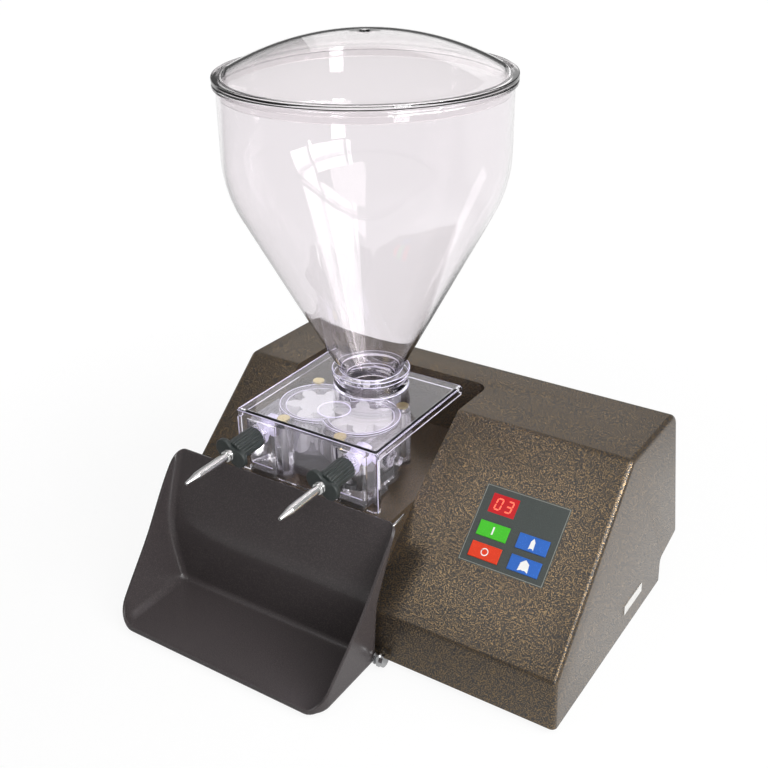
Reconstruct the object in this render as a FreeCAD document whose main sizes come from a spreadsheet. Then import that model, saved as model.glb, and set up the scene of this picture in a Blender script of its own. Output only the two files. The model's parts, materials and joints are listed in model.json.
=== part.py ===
import FreeCAD, Part
import math
import os
import Sketcher
from FreeCAD import Vector as Vec, Placement, Rotation

# Bench donut filler: a moulded housing with a wide control pod on the right and a narrow
# pod on the left, a twin gear pump on the deck between them under a clear cover, a clear
# funnel hopper with a domed lid, two filling nozzles, and a scoop tray in front.
# Millimetres, +Z up, the front faces -Y. Sizes along Y are counted back from 15 mm in front
# of the housing's low band. Every piece is placed origin_line further forward, so that the
# origin is on the counter under the middle of the whole machine.

os.makedirs("parts", exist_ok=True)
doc = FreeCAD.newDocument("DonutFiller")

# Sizes, each with a name that the rules below read.
SIZES = [
    # housing, outline of its side seen from +X, front to back
    ("housing_half_width", 254.0, "half width of the housing at its bottom edge"),
    ("side_draft", 2.0, "draft of the housing's sides in degrees"),
    ("wall", 3.5, "thickness of the moulded housing"),
    ("foot_height", 8.0, "height of a rubber foot"),
    ("origin_line", 127.75, "line of the origin"),
    ("front_y", 15.0, "front face of the low band"),
    ("band_top", 66.0, "height where the front panel starts to slope"),
    ("crease_y", 189.0, "top of the sloped front panel"),
    ("crease_z", 224.0, "height of the crease above the counter"),
    ("ridge_y", 316.0, "rear edge of the top"),
    ("ridge_z", 221.0, "height of the rear edge of the top"),
    ("tail_y", 352.0, "rearmost point of the back wall"),
    ("tail_z", 46.0, "height of the rearmost point"),
    ("heel_y", 303.0, "rear face of the base under the overhang"),
    ("heel_z", 34.0, "height of the overhang at the heel"),
    ("crease_radius", 10.0, "rounding of the crease"),
    ("ridge_radius", 16.0, "rounding of the ridge"),
    ("band_radius", 8.0, "rounding where the slope meets the band"),
    ("side_radius", 6.0, "rounding of the housing's side edges"),
    ("plate_thickness", 2.0, "thickness of the base plate"),
    ("fit_gap", 0.5, "gap between the base plate and the housing"),
    # channel between the pods, and the deck that carries the pump
    ("channel_left", -170.0, "left wall of the channel at the deck"),
    ("channel_right", 36.5, "right wall of the channel at the deck"),
    ("channel_flare", 6.5, "how far each channel wall leans out over its height"),
    ("channel_back", 262.0, "back wall of the channel"),
    ("channel_radius", 16.0, "rounding of the channel's rear corners"),
    ("deck_z", 150.0, "height of the deck"),
    ("block_front", 50.0, "front face of the block under the deck"),
    ("block_radius", 4.0, "rounding of the block's top front edge"),
    # control panel on the slope of the right pod
    ("panel_x", 108.5, "left edge of the control panel"),
    ("panel_low", 82.0, "distance of the panel's lower edge up the slope"),
    ("panel_width", 96.0, "width of the control panel"),
    ("panel_height", 86.0, "height of the control panel"),
    ("panel_thickness", 2.0, "thickness of the control panel"),
    ("panel_border", 4.0, "seat of the panel round the opening"),
    ("display_width", 30.0, "width of the display window"),
    ("display_height", 21.0, "height of the display window"),
    ("display_x", 11.0, "display window from the panel's left edge"),
    ("display_y", 8.0, "display window below the panel's upper edge"),
    ("key_width", 34.0, "width of a key"),
    ("key_height", 16.5, "height of a key"),
    ("key_left", 8.5, "left keys from the panel's left edge"),
    ("key_right", 8.5, "right keys from the panel's right edge"),
    ("key_low", 7.0, "lower keys above the panel's lower edge"),
    ("key_high", 30.5, "upper keys above the panel's lower edge"),
    ("key_gap", 0.15, "gap round a key"),
    ("key_rise", 0.8, "how far a key stands above the panel"),
    ("key_travel", 0.6, "travel of a key"),
    ("key_lip", 0.6, "lip round a key under the panel"),
    ("key_lip_height", 1.1, "thickness of a key's lip"),
    ("key_round", 0.45, "rounding of a key's top"),
    ("board_gap", 6.0, "circuit board behind the panel"),
    ("board_thickness", 1.6, "thickness of the circuit board"),
    ("board_gap_edge", 1.0, "gap round the circuit board"),
    ("spacer_radius", 1.2, "radius of a circuit board spacer"),
    ("spacer_inset", 1.6, "spacer in from the panel's seat"),
    # pump
    ("pump_x", -74.0, "middle of the pump"),
    ("gear_y", 129.0, "line of the gear shafts"),
    ("gear_spacing", 58.0, "distance between the gear shafts"),
    ("gear_teeth", 6, "teeth of each gear"),
    ("gear_tip", 36.0, "tip radius of a gear"),
    ("gear_root", 21.5, "root radius of a gear"),
    ("gear_height", 38.0, "height of a gear"),
    ("gear_backlash", 0.2, "side clearance of the teeth"),
    ("gear_gap", 0.4, "gap between gear tips and chamber"),
    ("face_gap", 0.2, "gap over and under the gears"),
    ("chamber_floor", 25.8, "floor of the chamber above the deck"),
    ("chamber_wall", 7.6, "wall round the chamber"),
    ("flange_height", 6.0, "thickness of the pump's foot flange"),
    ("flange_half", 16.0, "half width of the foot flange under an outlet"),
    ("flange_front", 61.0, "front edge of the foot flange"),
    ("lid_thickness", 5.0, "thickness of the pump lid"),
    ("shaft_radius", 6.0, "radius of the drive shaft"),
    ("idler_radius", 5.0, "radius of the idler pin"),
    ("running_gap", 0.05, "radial gap of a shaft in its bore"),
    ("pillar_radius", 9.0, "radius of a screw pillar"),
    ("pillar_front_half", 37.5, "front pillars either side of the pump's middle"),
    ("pillar_front_y", 76.5, "line of the front pillars"),
    ("pillar_back_half", 57.5, "rear pillars either side of the pump's middle"),
    ("pillar_back_y", 169.0, "line of the rear pillars"),
    ("screw_head_radius", 6.8, "radius of a lid screw's flat head"),
    ("screw_head_height", 2.0, "height of a lid screw's head"),
    ("well_y", 193.0, "axis of the hopper and the inlet well"),
    ("well_radius", 28.0, "bore of the inlet well"),
    ("well_wall", 6.0, "wall of the inlet well"),
    ("outlet_half", 60.0, "outlets either side of the pump's middle"),
    ("outlet_z", 203.0, "height of the outlets"),
    ("outlet_bore", 2.8, "bore radius of an outlet"),
    ("outlet_block_width", 36.0, "width of an outlet block"),
    ("outlet_block_front", 62.0, "front face of an outlet block"),
    ("outlet_block_low", 12.0, "underside of an outlet block above the deck"),
    ("boss_radius", 11.8, "radius of an outlet boss"),
    ("boss_front", 54.2, "front of an outlet boss"),
    ("thread_radius", 9.0, "radius of the outlet thread"),
    ("thread_front", 20.2, "front end of the outlet thread"),
    ("plug_y", 106.0, "line of the plug in the pump's right wall"),
    ("plug_z", 194.0, "height of the plug"),
    ("plug_radius", 10.0, "radius of the plug's flange"),
    ("plug_flange", 5.0, "thickness of the plug's flange"),
    ("plug_stem", 5.0, "radius of the plug's stem"),
    ("plug_length", 16.0, "length over the plug"),
    # nozzles
    ("nut_radius", 12.6, "radius of the knurled hub"),
    ("nut_flutes", 20, "flutes round the hub"),
    ("nut_flute_depth", 0.07, "depth of a flute as a share of the hub's radius"),
    ("wing_waist", 0.8, "waist of the wings as a share of their width"),
    ("nut_back", 53.9, "rear end of the hub"),
    ("wing_back", 16.8, "rear face of the wings"),
    ("wing_thickness", 6.6, "thickness of the wings"),
    ("wing_length", 41.0, "length over both wings"),
    ("wing_width", 20.0, "width of a wing"),
    ("wing_angle", -24.0, "rest angle of the wings in degrees"),
    ("nozzle_tip_y", -58.5, "tip of a nozzle"),
    ("nozzle_cone", 17.5, "length of a nozzle's point"),
    ("nozzle_radius", 4.8, "radius of a nozzle tube"),
    ("nozzle_bore", 2.8, "bore radius of a nozzle"),
    ("nozzle_ring", 6.5, "radius of the ring at a nozzle's root"),
    ("nozzle_ring_length", 7.0, "length of the ring"),
    ("nozzle_flange", 8.2, "radius of the nozzle's flange in the hub"),
    ("nozzle_mouth", 1.1, "radius of the hole in a nozzle's tip"),
    ("nozzle_point", 1.9, "outer radius at a nozzle's tip"),
    ("nozzle_groove", 0.9, "depth of the groove between the rings"),
    # clear cover
    ("cover_left", -167.0, "left edge of the clear cover"),
    ("cover_right", 18.5, "right edge of the clear cover"),
    ("cover_front", 63.0, "front face of the clear cover"),
    ("cover_back", 245.0, "rear edge of the clear cover"),
    ("cover_top", 224.6, "top of the clear cover"),
    ("cover_wall", 3.0, "thickness of the clear cover"),
    ("cover_lip", 10.5, "depth of the cover's side lips"),
    ("cover_radius", 5.0, "rounding of the cover's edges"),
    ("cover_foot_gap", 0.3, "front skirt above the deck"),
    ("notch_gap", 1.0, "clearance round an outlet block in the skirt"),
    ("collar_radius", 44.8, "outer radius of the collar"),
    ("collar_top", 246.0, "top of the collar"),
    ("collar_mouth", 36.2, "radius of the collar's mouth"),
    ("collar_bore", 30.5, "bore radius of the collar"),
    ("collar_seat", 10.5, "depth of the collar's cone"),
    # hopper and lid
    ("hopper_radius", 151.0, "outer radius of the hopper's cylinder"),
    ("hopper_rim_z", 573.0, "top of the hopper's rim"),
    ("hopper_rim_radius", 154.7, "outer radius of the rim"),
    ("hopper_rim_height", 6.0, "height of the rim"),
    ("hopper_shoulder", 498.0, "where the cylinder starts to draw in"),
    ("hopper_cone_slope", 0.525, "radius gained per height in the cone"),
    ("hopper_wall", 3.0, "wall of the hopper"),
    ("neck_radius", 30.2, "outer radius of the hopper's neck"),
    ("neck_bottom", 222.0, "lower end of the wide neck"),
    ("spigot_radius", 27.6, "outer radius of the spigot"),
    ("spigot_bottom", 206.0, "lower end of the spigot"),
    ("seat_gap", 0.3, "gap between lifting pieces"),
    ("dome_height", 43.0, "rise of the domed lid"),
    ("dome_flange", 5.0, "height of the lid's flange"),
    ("dome_skirt", 14.0, "depth of the lid's inner skirt"),
    ("dome_wall", 3.0, "wall of the lid"),
    # tray
    ("tray_left", -226.0, "left side of the tray at its bottom"),
    ("tray_right", 49.5, "right side of the tray at its bottom"),
    ("tray_flare", 8.0, "how far each side leans out over the height"),
    ("tray_top", 171.0, "top of the tray's back"),
    ("tray_bottom", 3.0, "underside of the tray"),
    ("tray_front", -96.0, "front of the tray"),
    ("tray_lip", 11.0, "height of the tray's front lip"),
    ("tray_wall", 3.0, "wall of the tray"),
    ("tray_gap", 0.3, "gap between the tray and the housing"),
    ("tray_corner", 20.0, "rounding of the tray's front corners"),
    ("tray_top_corner", 7.0, "rounding of the tray's rear top corners"),
    ("tray_top_depth", 6.0, "depth of the flat top of the tray's back"),
    ("tray_rim_y", -68.0, "low end of the straight rim of the tray's sides"),
    ("tray_rim_z", 29.0, "height of that low end"),
    ("hanger_in", 9.0, "steel strip in from the tray's right end"),
    ("hanger_width", 3.0, "width of the steel strip"),
    ("hanger_thickness", 1.5, "thickness of the steel strip"),
    ("hanger_front", 3.0, "steel strip's seat on the tray"),
    ("hanger_back", 17.0, "how far the steel strip reaches back"),
    ("stud_z", 15.0, "height of the tray's locating studs"),
    ("stud_y", 5.5, "line of the tray's locating studs"),
    ("stud_radius", 7.4, "radius of a stud's disc"),
    ("stud_pin", 3.0, "radius of a stud's pin"),
    ("stud_gap", 1.5, "stud beside the tray"),
    ("stud_washer_at", 1.0, "washer along the stud"),
    ("stud_washer", 1.6, "thickness of the washer"),
    ("stud_nut_at", 8.0, "round nut along the stud"),
    ("stud_nut", 4.5, "thickness of the round nut"),
    ("lug_thickness", 4.0, "thickness of a stud's lug"),
    ("lug_front", 5.0, "lug in front of the stud"),
    ("lug_low", 7.0, "lug below the stud"),
    ("lug_high", 9.0, "lug above the stud"),
    # drive
    ("gearbox_size", 60.0, "side of the gearbox"),
    ("gearbox_height", 36.0, "height of the gearbox"),
    ("bracket_thickness", 3.0, "thickness of the motor bracket"),
    ("standoff_height", 9.0, "length of the bracket's standoffs"),
    ("motor_radius", 29.0, "radius of the motor"),
    ("motor_length", 74.0, "length of the motor"),
    ("shaft_bottom", 112.0, "lower end of the drive shaft"),
    ("seal_radius", 11.0, "outer radius of the shaft seal"),
    ("seal_height", 7.0, "height of the shaft seal"),
    ("supply_inset", 44.0, "power supply in from the housing's right edge"),
    ("supply_y", 150.0, "front of the power supply"),
    ("supply_width", 110.0, "width of the power supply"),
    ("supply_depth", 110.0, "depth of the power supply"),
    ("supply_height", 42.0, "height of the power supply"),
    ("blank_y", 189.0, "front end of the pale plate on the right side"),
    ("blank_z", 31.0, "lower edge of the pale plate"),
    ("blank_length", 50.0, "length of the pale plate"),
    ("blank_height", 11.0, "height of the pale plate"),
    ("blank_thickness", 0.6, "thickness of the pale plate"),
    ("foot_radius", 11.0, "radius of a foot"),
    ("foot_inset_x", 16.0, "feet in from the housing's sides"),
    ("foot_front_y", 34.0, "line of the front feet"),
    ("foot_back_y", 282.0, "line of the rear feet"),
]
sheet = doc.addObject("Spreadsheet::Sheet", "Sizes")
for row, (alias, value, what) in enumerate(SIZES, 1):
    sheet.set("A%d" % row, what)
    sheet.set("B%d" % row, str(value))
    sheet.setAlias("B%d" % row, alias)
doc.recompute()


def size(name):
    return float(sheet.get(name))


# Helpers: each makes one kind of piece and ties it to the sizes.
nodes = {}
X = Vec(1, 0, 0)
Y = Vec(0, 1, 0)
Z = Vec(0, 0, 1)


def keep(name, obj):
    obj.Label = name
    nodes[name] = obj
    return obj


def bind(obj, **rules):
    for prop, rule in rules.items():
        obj.setExpression(prop.replace("_at_", ".Base."), rule)
    return obj


def tied(rule):
    # a rule written with bare size names becomes one that reads the sheet
    out = rule
    for alias in sorted((a for a, v, w in SIZES), key=len, reverse=True):
        out = swap_word(out, alias, "Sizes." + alias)
    return out


def swap_word(text, word, new):
    parts, i = [], 0
    while True:
        j = text.find(word, i)
        if j < 0:
            parts.append(text[i:])
            return "".join(parts)
        before = text[j - 1] if j else " "
        after = text[j + len(word)] if j + len(word) < len(text) else " "
        whole = not (before.isalnum() or before in "_.") and not (after.isalnum() or after == "_")
        parts.append(text[i:j] + (new if whole else word))
        i = j + len(word)


def box(name, at, lengths, turn=None):
    obj = doc.addObject("Part::Box", name)
    if turn:
        obj.Placement = Placement(Vec(0, 0, 0), turn)
    bind(obj, Length=tied(lengths[0]), Width=tied(lengths[1]), Height=tied(lengths[2]),
         Placement_at_x=tied(at[0]), Placement_at_y=tied(at[1] + " - origin_line"),
         Placement_at_z=tied(at[2]))
    return obj


def rod(name, at, radius, length, along=Z):
    obj = doc.addObject("Part::Cylinder", name)
    obj.Placement = Placement(Vec(0, 0, 0), Rotation(Z, along))
    bind(obj, Radius=tied(radius), Height=tied(length),
         Placement_at_x=tied(at[0]), Placement_at_y=tied(at[1] + " - origin_line"),
         Placement_at_z=tied(at[2]))
    return obj


def outline(body, name, plane, corners):
    # a closed sketch of straight runs; two rules place each corner, and "0" puts it on an axis
    sketch = body.newObject("Sketcher::SketchObject", name)
    sketch.AttachmentSupport = [(f, "") for f in body.Origin.OriginFeatures if f.Role == plane]
    sketch.MapMode = "FlatFace"
    count = len(corners)
    rough = [Vec(60 + 40 * math.cos(2 * math.pi * k / count), 60 + 40 * math.sin(2 * math.pi * k / count), 0)
             for k in range(count)]
    for k in range(count):
        sketch.addGeometry(Part.LineSegment(rough[k], rough[(k + 1) % count]), False)
    for k in range(count):
        sketch.addConstraint(Sketcher.Constraint("Coincident", k, 2, (k + 1) % count, 1))
    for k, (across, along) in enumerate(corners):
        for kind, axis, rule, start in (("DistanceX", -2, across, rough[k].x), ("DistanceY", -1, along, rough[k].y)):
            if rule == "0":
                sketch.addConstraint(Sketcher.Constraint("PointOnObject", k, 1, axis))
            else:
                number = sketch.addConstraint(Sketcher.Constraint(kind, -1, 1, k, 1, start))
                sketch.setExpression("Constraints[%d]" % number, tied(rule))
    return sketch


def standing(name, at, turn=None):
    body = doc.addObject("PartDesign::Body", name)
    if turn:
        body.Placement = Placement(Vec(0, 0, 0), turn)
    bind(body, Placement_at_x=tied(at[0]), Placement_at_y=tied(at[1] + " - origin_line"),
         Placement_at_z=tied(at[2]))
    return body


def spun(name, at, plane, line, corners, turn=None):
    # a turned piece: the outline revolved about an axis of its sketch
    body = standing(name, at, turn)
    sketch = outline(body, name + "Outline", plane, corners)
    round_it = body.newObject("PartDesign::Revolution", name + "Turn")
    round_it.Profile = sketch
    round_it.ReferenceAxis = (sketch, [line])
    round_it.Angle = 360.0
    return body


def raised(name, at, plane, corners, length, turn=None):
    # a flat or folded piece: the outline padded by a length either side of its sketch
    body = standing(name, at, turn)
    sketch = outline(body, name + "Outline", plane, corners)
    pad = body.newObject("PartDesign::Pad", name + "Pad")
    pad.Profile = sketch
    pad.setExpression("Length", tied(length))
    pad.Midplane = True
    return body


def bored(body, name, plane, radius):
    # a round hole right through a body about its own origin
    sketch = body.newObject("Sketcher::SketchObject", name + "Circle")
    sketch.AttachmentSupport = [(f, "") for f in body.Origin.OriginFeatures if f.Role == plane]
    sketch.MapMode = "FlatFace"
    sketch.addGeometry(Part.Circle(Vec(0, 0, 0), Z, 5), False)
    sketch.addConstraint(Sketcher.Constraint("Coincident", 0, 3, -1, 1))
    number = sketch.addConstraint(Sketcher.Constraint("Radius", 0, 5))
    sketch.setExpression("Constraints[%d]" % number, tied(radius))
    hole = body.newObject("PartDesign::Pocket", name + "Hole")
    hole.Profile = sketch
    hole.Type = 1
    hole.Midplane = True
    return body


def form(name, shape, place=None):
    obj = doc.addObject("Part::Feature", name)
    obj.Shape = shape
    forward = Placement(Vec(0, -size("origin_line"), 0), Rotation())
    obj.Placement = forward.multiply(place or shape.Placement)
    return obj


def rounded_wire(corners):
    # corners: (point, radius); straight runs joined by tangent arcs
    n = len(corners)
    runs = []
    for i in range(n):
        p, r = corners[i]
        a = corners[i - 1][0] - p
        b = corners[(i + 1) % n][0] - p
        if r <= 0:
            runs.append((p, p, None))
            continue
        half = a.getAngle(b) / 2
        cut = r / math.tan(half)
        a.normalize()
        b.normalize()
        mid = a + b
        mid.normalize()
        centre = p + mid * (r / math.sin(half))
        runs.append((p + a * cut, p + b * cut, centre - mid * r))
    edges = []
    for i in range(n):
        start, end, crown = runs[i]
        if crown is not None:
            edges.append(Part.Arc(start, crown, end).toShape())
        nxt = runs[(i + 1) % n][0]
        if (nxt - end).Length > 1e-6:
            edges.append(Part.LineSegment(end, nxt).toShape())
    return Part.Wire(edges)


def slab(corners, axis, start, end):
    # a prism: rounded outline in the plane across axis, from start to end along it
    face = Part.Face(rounded_wire(corners))
    face.translate(axis * start)
    return face.extrude(axis * (end - start))


def turned(points, axis_point, axis):
    face = Part.Face(Part.makePolygon(points + [points[0]]))
    return face.revolve(axis_point, axis, 360)


def near_edges(shape, test):
    found = []
    for e in shape.Edges:
        p = e.valueAt((e.FirstParameter + e.LastParameter) / 2)
        if test(e, p):
            found.append(e)
    return found


# The housing, one moulding. Its side outline is carried across, the sides are drafted, and the
# channel, the panel's seat and the openings are cut from it.
half = size("housing_half_width")
lean = math.tan(math.radians(size("side_draft")))
wall = size("wall")
foot = size("foot_height")
slope = math.atan2(size("crease_z") - size("band_top"), size("crease_y") - size("front_y"))
slope_deg = math.degrees(slope)


def housing_profile(inset):
    line = [
        (size("front_y"), foot, 0.0),
        (size("front_y"), size("band_top"), size("band_radius")),
        (size("crease_y"), size("crease_z"), size("crease_radius")),
        (size("ridge_y"), size("ridge_z"), size("ridge_radius")),
        (size("tail_y"), size("tail_z"), 8.0),
        (size("heel_y"), size("heel_z"), 4.0),
        (size("heel_y"), foot, 0.0),
    ]
    wire = rounded_wire([(Vec(0, y, z), r) for y, z, r in line])
    if inset > 0:
        wire = wire.makeOffset2D(-inset)
    return Part.Face(wire)


def between_sides(inset, low, high):
    at_low = half - inset - (low - foot) * lean
    at_high = half - inset - (high - foot) * lean
    pts = [Vec(-at_low, -300, low), Vec(at_low, -300, low),
           Vec(at_high, -300, high), Vec(-at_high, -300, high)]
    return Part.Face(Part.makePolygon(pts + [pts[0]])).extrude(Y * 900)


def channel_cutter(grow):
    deck = size("deck_z")
    top = size("crease_z") + 20
    flare = size("channel_flare") * (top - deck) / (size("crease_z") - deck)
    left, right = size("channel_left"), size("channel_right")
    low = deck - grow
    low_flare = flare * (low - deck) / (top - deck)
    pts = [Vec(left - grow - low_flare, -200, low), Vec(right + grow + low_flare, -200, low),
           Vec(right + grow + flare, -200, top), Vec(left - grow - flare, -200, top)]
    prism = Part.Face(Part.makePolygon(pts + [pts[0]])).extrude(Y * (size("channel_back") + grow + 200))
    rear = near_edges(prism, lambda e, p: abs(p.y - size("channel_back") - grow) < 1e-3
                      and e.Vertexes[0].Point.z != e.Vertexes[1].Point.z
                      and abs(e.Vertexes[0].Point.z - e.Vertexes[1].Point.z) > 1)
    return prism.makeFillet(size("channel_radius") + grow, rear)


outer = housing_profile(0).extrude(X * (2 * half + 40))
outer.translate(X * (-half - 20))
outer = outer.common(between_sides(0, foot, 400))
outer = outer.common(Part.makeBox(400, 900, 500, Vec(0, -300, 0)))
rims = near_edges(outer, lambda e, p: p.x > half - 20 and p.z > foot + 1
                  and abs(e.Vertexes[0].Point.x - e.Vertexes[-1].Point.x) < 12)
outer = outer.makeFillet(size("side_radius"), rims)
outer = outer.fuse(outer.mirror(Vec(0, 0, 0), X)).removeSplitter()
block = Part.makeBox(size("channel_right") - size("channel_left"), 90, size("deck_z") - foot,
                     Vec(size("channel_left"), size("block_front"), foot))
front_top = near_edges(block, lambda e, p: abs(p.y - size("block_front")) < 1e-3
                       and abs(p.z - size("deck_z")) < 1e-3)
block = block.makeFillet(size("block_radius"), front_top)
outer = outer.fuse(block).cut(channel_cutter(0))

inner = housing_profile(wall).extrude(X * (2 * half + 40))
inner.translate(X * (-half - 20))
inner_low = Part.makeBox(2 * half, size("heel_y") - size("front_y") - 2 * wall, wall + 2,
                         Vec(-half, size("front_y") + wall, foot - 1))
inner = inner.fuse(inner_low).common(between_sides(wall, foot - 2, 400))
inner_block = Part.makeBox(size("channel_right") - size("channel_left") - 2 * wall, 90,
                           size("deck_z") - foot - wall - 6,
                           Vec(size("channel_left") + wall, size("block_front") + wall, foot + 6))
inner = inner.fuse(inner_block).cut(channel_cutter(wall))
shell = outer.cut(inner)

slope_turn = Rotation(X, slope_deg)
slope_base = Vec(0, size("front_y"), size("band_top"))


def on_slope(x, up, out):
    return slope_base + slope_turn.multVec(Vec(x, up, out))


def slope_box(x, up, out, width, height, depth):
    solid = Part.makeBox(width, height, depth)
    solid.Placement = Placement(on_slope(x, up, out), slope_turn)
    return solid


pt = size("panel_thickness")
border = size("panel_border")
shell = shell.cut(slope_box(size("panel_x"), size("panel_low"), -pt,
                            size("panel_width"), size("panel_height"), 20))
shell = shell.cut(slope_box(size("panel_x") + border, size("panel_low") + border, -20,
                            size("panel_width") - 2 * border, size("panel_height") - 2 * border, 40))
drive_x = size("pump_x") + size("gear_spacing") / 2
idler_x = size("pump_x") - size("gear_spacing") / 2
shell = shell.cut(Part.makeCylinder(size("seal_radius") + 1, 40,
                                    Vec(drive_x, size("gear_y"), size("deck_z") - 20)))

back_lean = math.degrees(math.atan2(size("tail_y") - size("ridge_y"), size("ridge_z") - size("tail_z")))
back_turn = Rotation(X, -(90 - back_lean))
inlet_mid = Vec(150, 0, 110)
inlet_mid.y = size("tail_y") - (inlet_mid.z - size("tail_z")) * math.tan(math.radians(back_lean))


def back_box(x, y, z, width, height, depth):
    solid = Part.makeBox(width, height, depth)
    solid.Placement = Placement(inlet_mid + back_turn.multVec(Vec(x, y, z)), back_turn)
    return solid


shell = shell.cut(back_box(-14, -10.5, -20, 28, 21, 40))
keep("housing_cover", form("HousingCover", shell))

# base plate, a sheet inside the housing's bottom edge
keep("base_plate", box("BasePlate",
    ("-(housing_half_width - wall - fit_gap)", "front_y + wall + fit_gap", "foot_height"),
    ("2 * (housing_half_width - wall - fit_gap)",
     "heel_y - front_y - 2 * (wall + fit_gap)", "plate_thickness")))

# four round rubber feet
for side, sx in (("left", "-1"), ("right", "1")):
    for end in ("front", "back"):
        keep("foot_%s_%s" % (end, side), rod("Foot" + side.title() + end.title(),
             (sx + " * (housing_half_width - foot_inset_x)", "foot_%s_y" % end, "0"),
             "foot_radius", "foot_height"))

# The control panel, set flush in the slope of the right pod.
plate = slope_box(size("panel_x"), size("panel_low"), -pt, size("panel_width"), size("panel_height"), pt)
window_at = (size("panel_x") + size("display_x"),
             size("panel_low") + size("panel_height") - size("display_y") - size("display_height"))
plate = plate.cut(slope_box(window_at[0], window_at[1], -pt - 1, size("display_width"),
                            size("display_height"), pt + 2))
left_keys = size("key_left")
right_keys = size("panel_width") - size("key_right") - size("key_width")
keys = {"start_button": (left_keys, "key_high"), "stop_button": (left_keys, "key_low"),
        "small_fill_button": (right_keys, "key_high"), "large_fill_button": (right_keys, "key_low")}
kg = size("key_gap")
for name, (kx, ky) in keys.items():
    plate = plate.cut(slope_box(size("panel_x") + kx - kg, size("panel_low") + size(ky) - kg,
                                -pt - 1, size("key_width") + 2 * kg, size("key_height") + 2 * kg, pt + 2))
keep("control_panel", form("ControlPanel", plate))
keep("display_window", form("DisplayWindow", slope_box(window_at[0], window_at[1], -pt,
     size("display_width"), size("display_height"), pt)))
for name, (kx, ky) in keys.items():
    x0, y0 = size("panel_x") + kx, size("panel_low") + size(ky)
    cap = slope_box(x0, y0, -pt - 1.4, size("key_width"), size("key_height"), pt + 1.4 + size("key_rise"))
    top_edges = near_edges(cap, lambda e, p: abs(slope_turn.inverted().multVec(p - slope_base).z
                                                 - size("key_rise")) < 1e-3)
    cap = cap.makeFillet(min(size("key_round"), size("key_rise") * 0.6), top_edges)
    lip_round = size("key_lip")
    lip = slope_box(x0 - lip_round, y0 - lip_round, -pt - 1.4, size("key_width") + 2 * lip_round,
                    size("key_height") + 2 * lip_round, size("key_lip_height"))
    keep(name, form(name.title().replace("_", ""), cap.fuse(lip).removeSplitter()))

# circuit board on four spacers behind the panel
bg = size("board_gap")
edge = border + size("board_gap_edge")
board = slope_box(size("panel_x") + edge, size("panel_low") + edge,
                  -pt - bg - size("board_thickness"), size("panel_width") - 2 * edge,
                  size("panel_height") - 2 * edge, size("board_thickness"))
post, post_in = size("spacer_radius"), border + size("spacer_inset")
for fx in (post_in, size("panel_width") - post_in):
    for fy in (post_in, size("panel_height") - post_in):
        board = board.fuse(slope_box(size("panel_x") + fx - post, size("panel_low") + fy - post,
                                     -pt - bg, 2 * post, 2 * post, bg))
keep("circuit_board", form("CircuitBoard", board))

# blank rating plate low on the right side
keep("blank_plate", box("BlankPlate",
    ("housing_half_width - (blank_z - foot_height) * tan(side_draft * 1 deg)", "blank_y", "blank_z"),
    ("blank_thickness", "blank_length", "blank_height"), Rotation(Y, -size("side_draft"))))

# mains inlet in the back wall
inlet = back_box(-25, -14, 0, 50, 28, 2.2).fuse(back_box(-14, -10.5, -16, 28, 21, 17))
inlet = inlet.cut(back_box(-12, -8.5, -13, 24, 17, 20))
for px, py in ((-7, -2.5), (7, -2.5), (0, 3)):
    inlet = inlet.fuse(back_box(px - 1, py - 2.2, -13.5, 2, 4.4, 11))
keep("mains_inlet", form("MainsInlet", inlet))

# The gear pump: a clear casing with two meshing gears, closed by a lid under four screws.
gy = size("gear_y")
px = size("pump_x")
deck = size("deck_z")
floor_z = deck + size("chamber_floor")
gear_z = floor_z + size("face_gap")
lid_z = gear_z + size("gear_height") + size("face_gap")
lid_top = lid_z + size("lid_thickness")
chamber_r = size("gear_tip") + size("gear_gap")
case_r = chamber_r + size("chamber_wall")
wy = size("well_y")
pillars = [(px - size("pillar_back_half"), size("pillar_back_y")),
           (px - size("pillar_front_half"), size("pillar_front_y")),
           (px + size("pillar_front_half"), size("pillar_front_y")),
           (px + size("pillar_back_half"), size("pillar_back_y"))]
outlets = {"left": px - size("outlet_half"), "right": px + size("outlet_half")}


def case_outline(low, high, grow):
    solid = None
    for cx in (idler_x, drive_x):
        c = Part.makeCylinder(case_r + grow, high - low, Vec(cx, gy, low))
        solid = c if solid is None else solid.fuse(c)
    mid = Part.makeBox(size("gear_spacing"), 2 * (case_r + grow) - 6, high - low,
                       Vec(idler_x, gy - case_r - grow + 3, low))
    well = Part.makeCylinder(size("well_radius") + size("well_wall") + grow, high - low, Vec(px, wy, low))
    neck = Part.makeBox(2 * (size("well_radius") + size("well_wall") + grow) - 12, wy - gy, high - low,
                        Vec(px - size("well_radius") - size("well_wall") - grow + 6, gy, low))
    solid = solid.fuse(mid).fuse(well).fuse(neck)
    for cx, cy in pillars:
        solid = solid.fuse(Part.makeCylinder(size("pillar_radius") + grow, high - low, Vec(cx, cy, low)))
        solid = solid.fuse(rib_to(cx, cy, low, high))
    return solid


def rib_to(cx, cy, low, high):
    # web from a pillar to the chamber wall
    target = Vec(idler_x if cx < px else drive_x, gy, low)
    way = target - Vec(cx, cy, low)
    length = way.Length - size("gear_tip") - 3
    solid = Part.makeBox(length, 10, high - low, Vec(0, -5, 0))
    solid.Placement = Placement(Vec(cx, cy, low), Rotation(X, way))
    return solid


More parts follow.
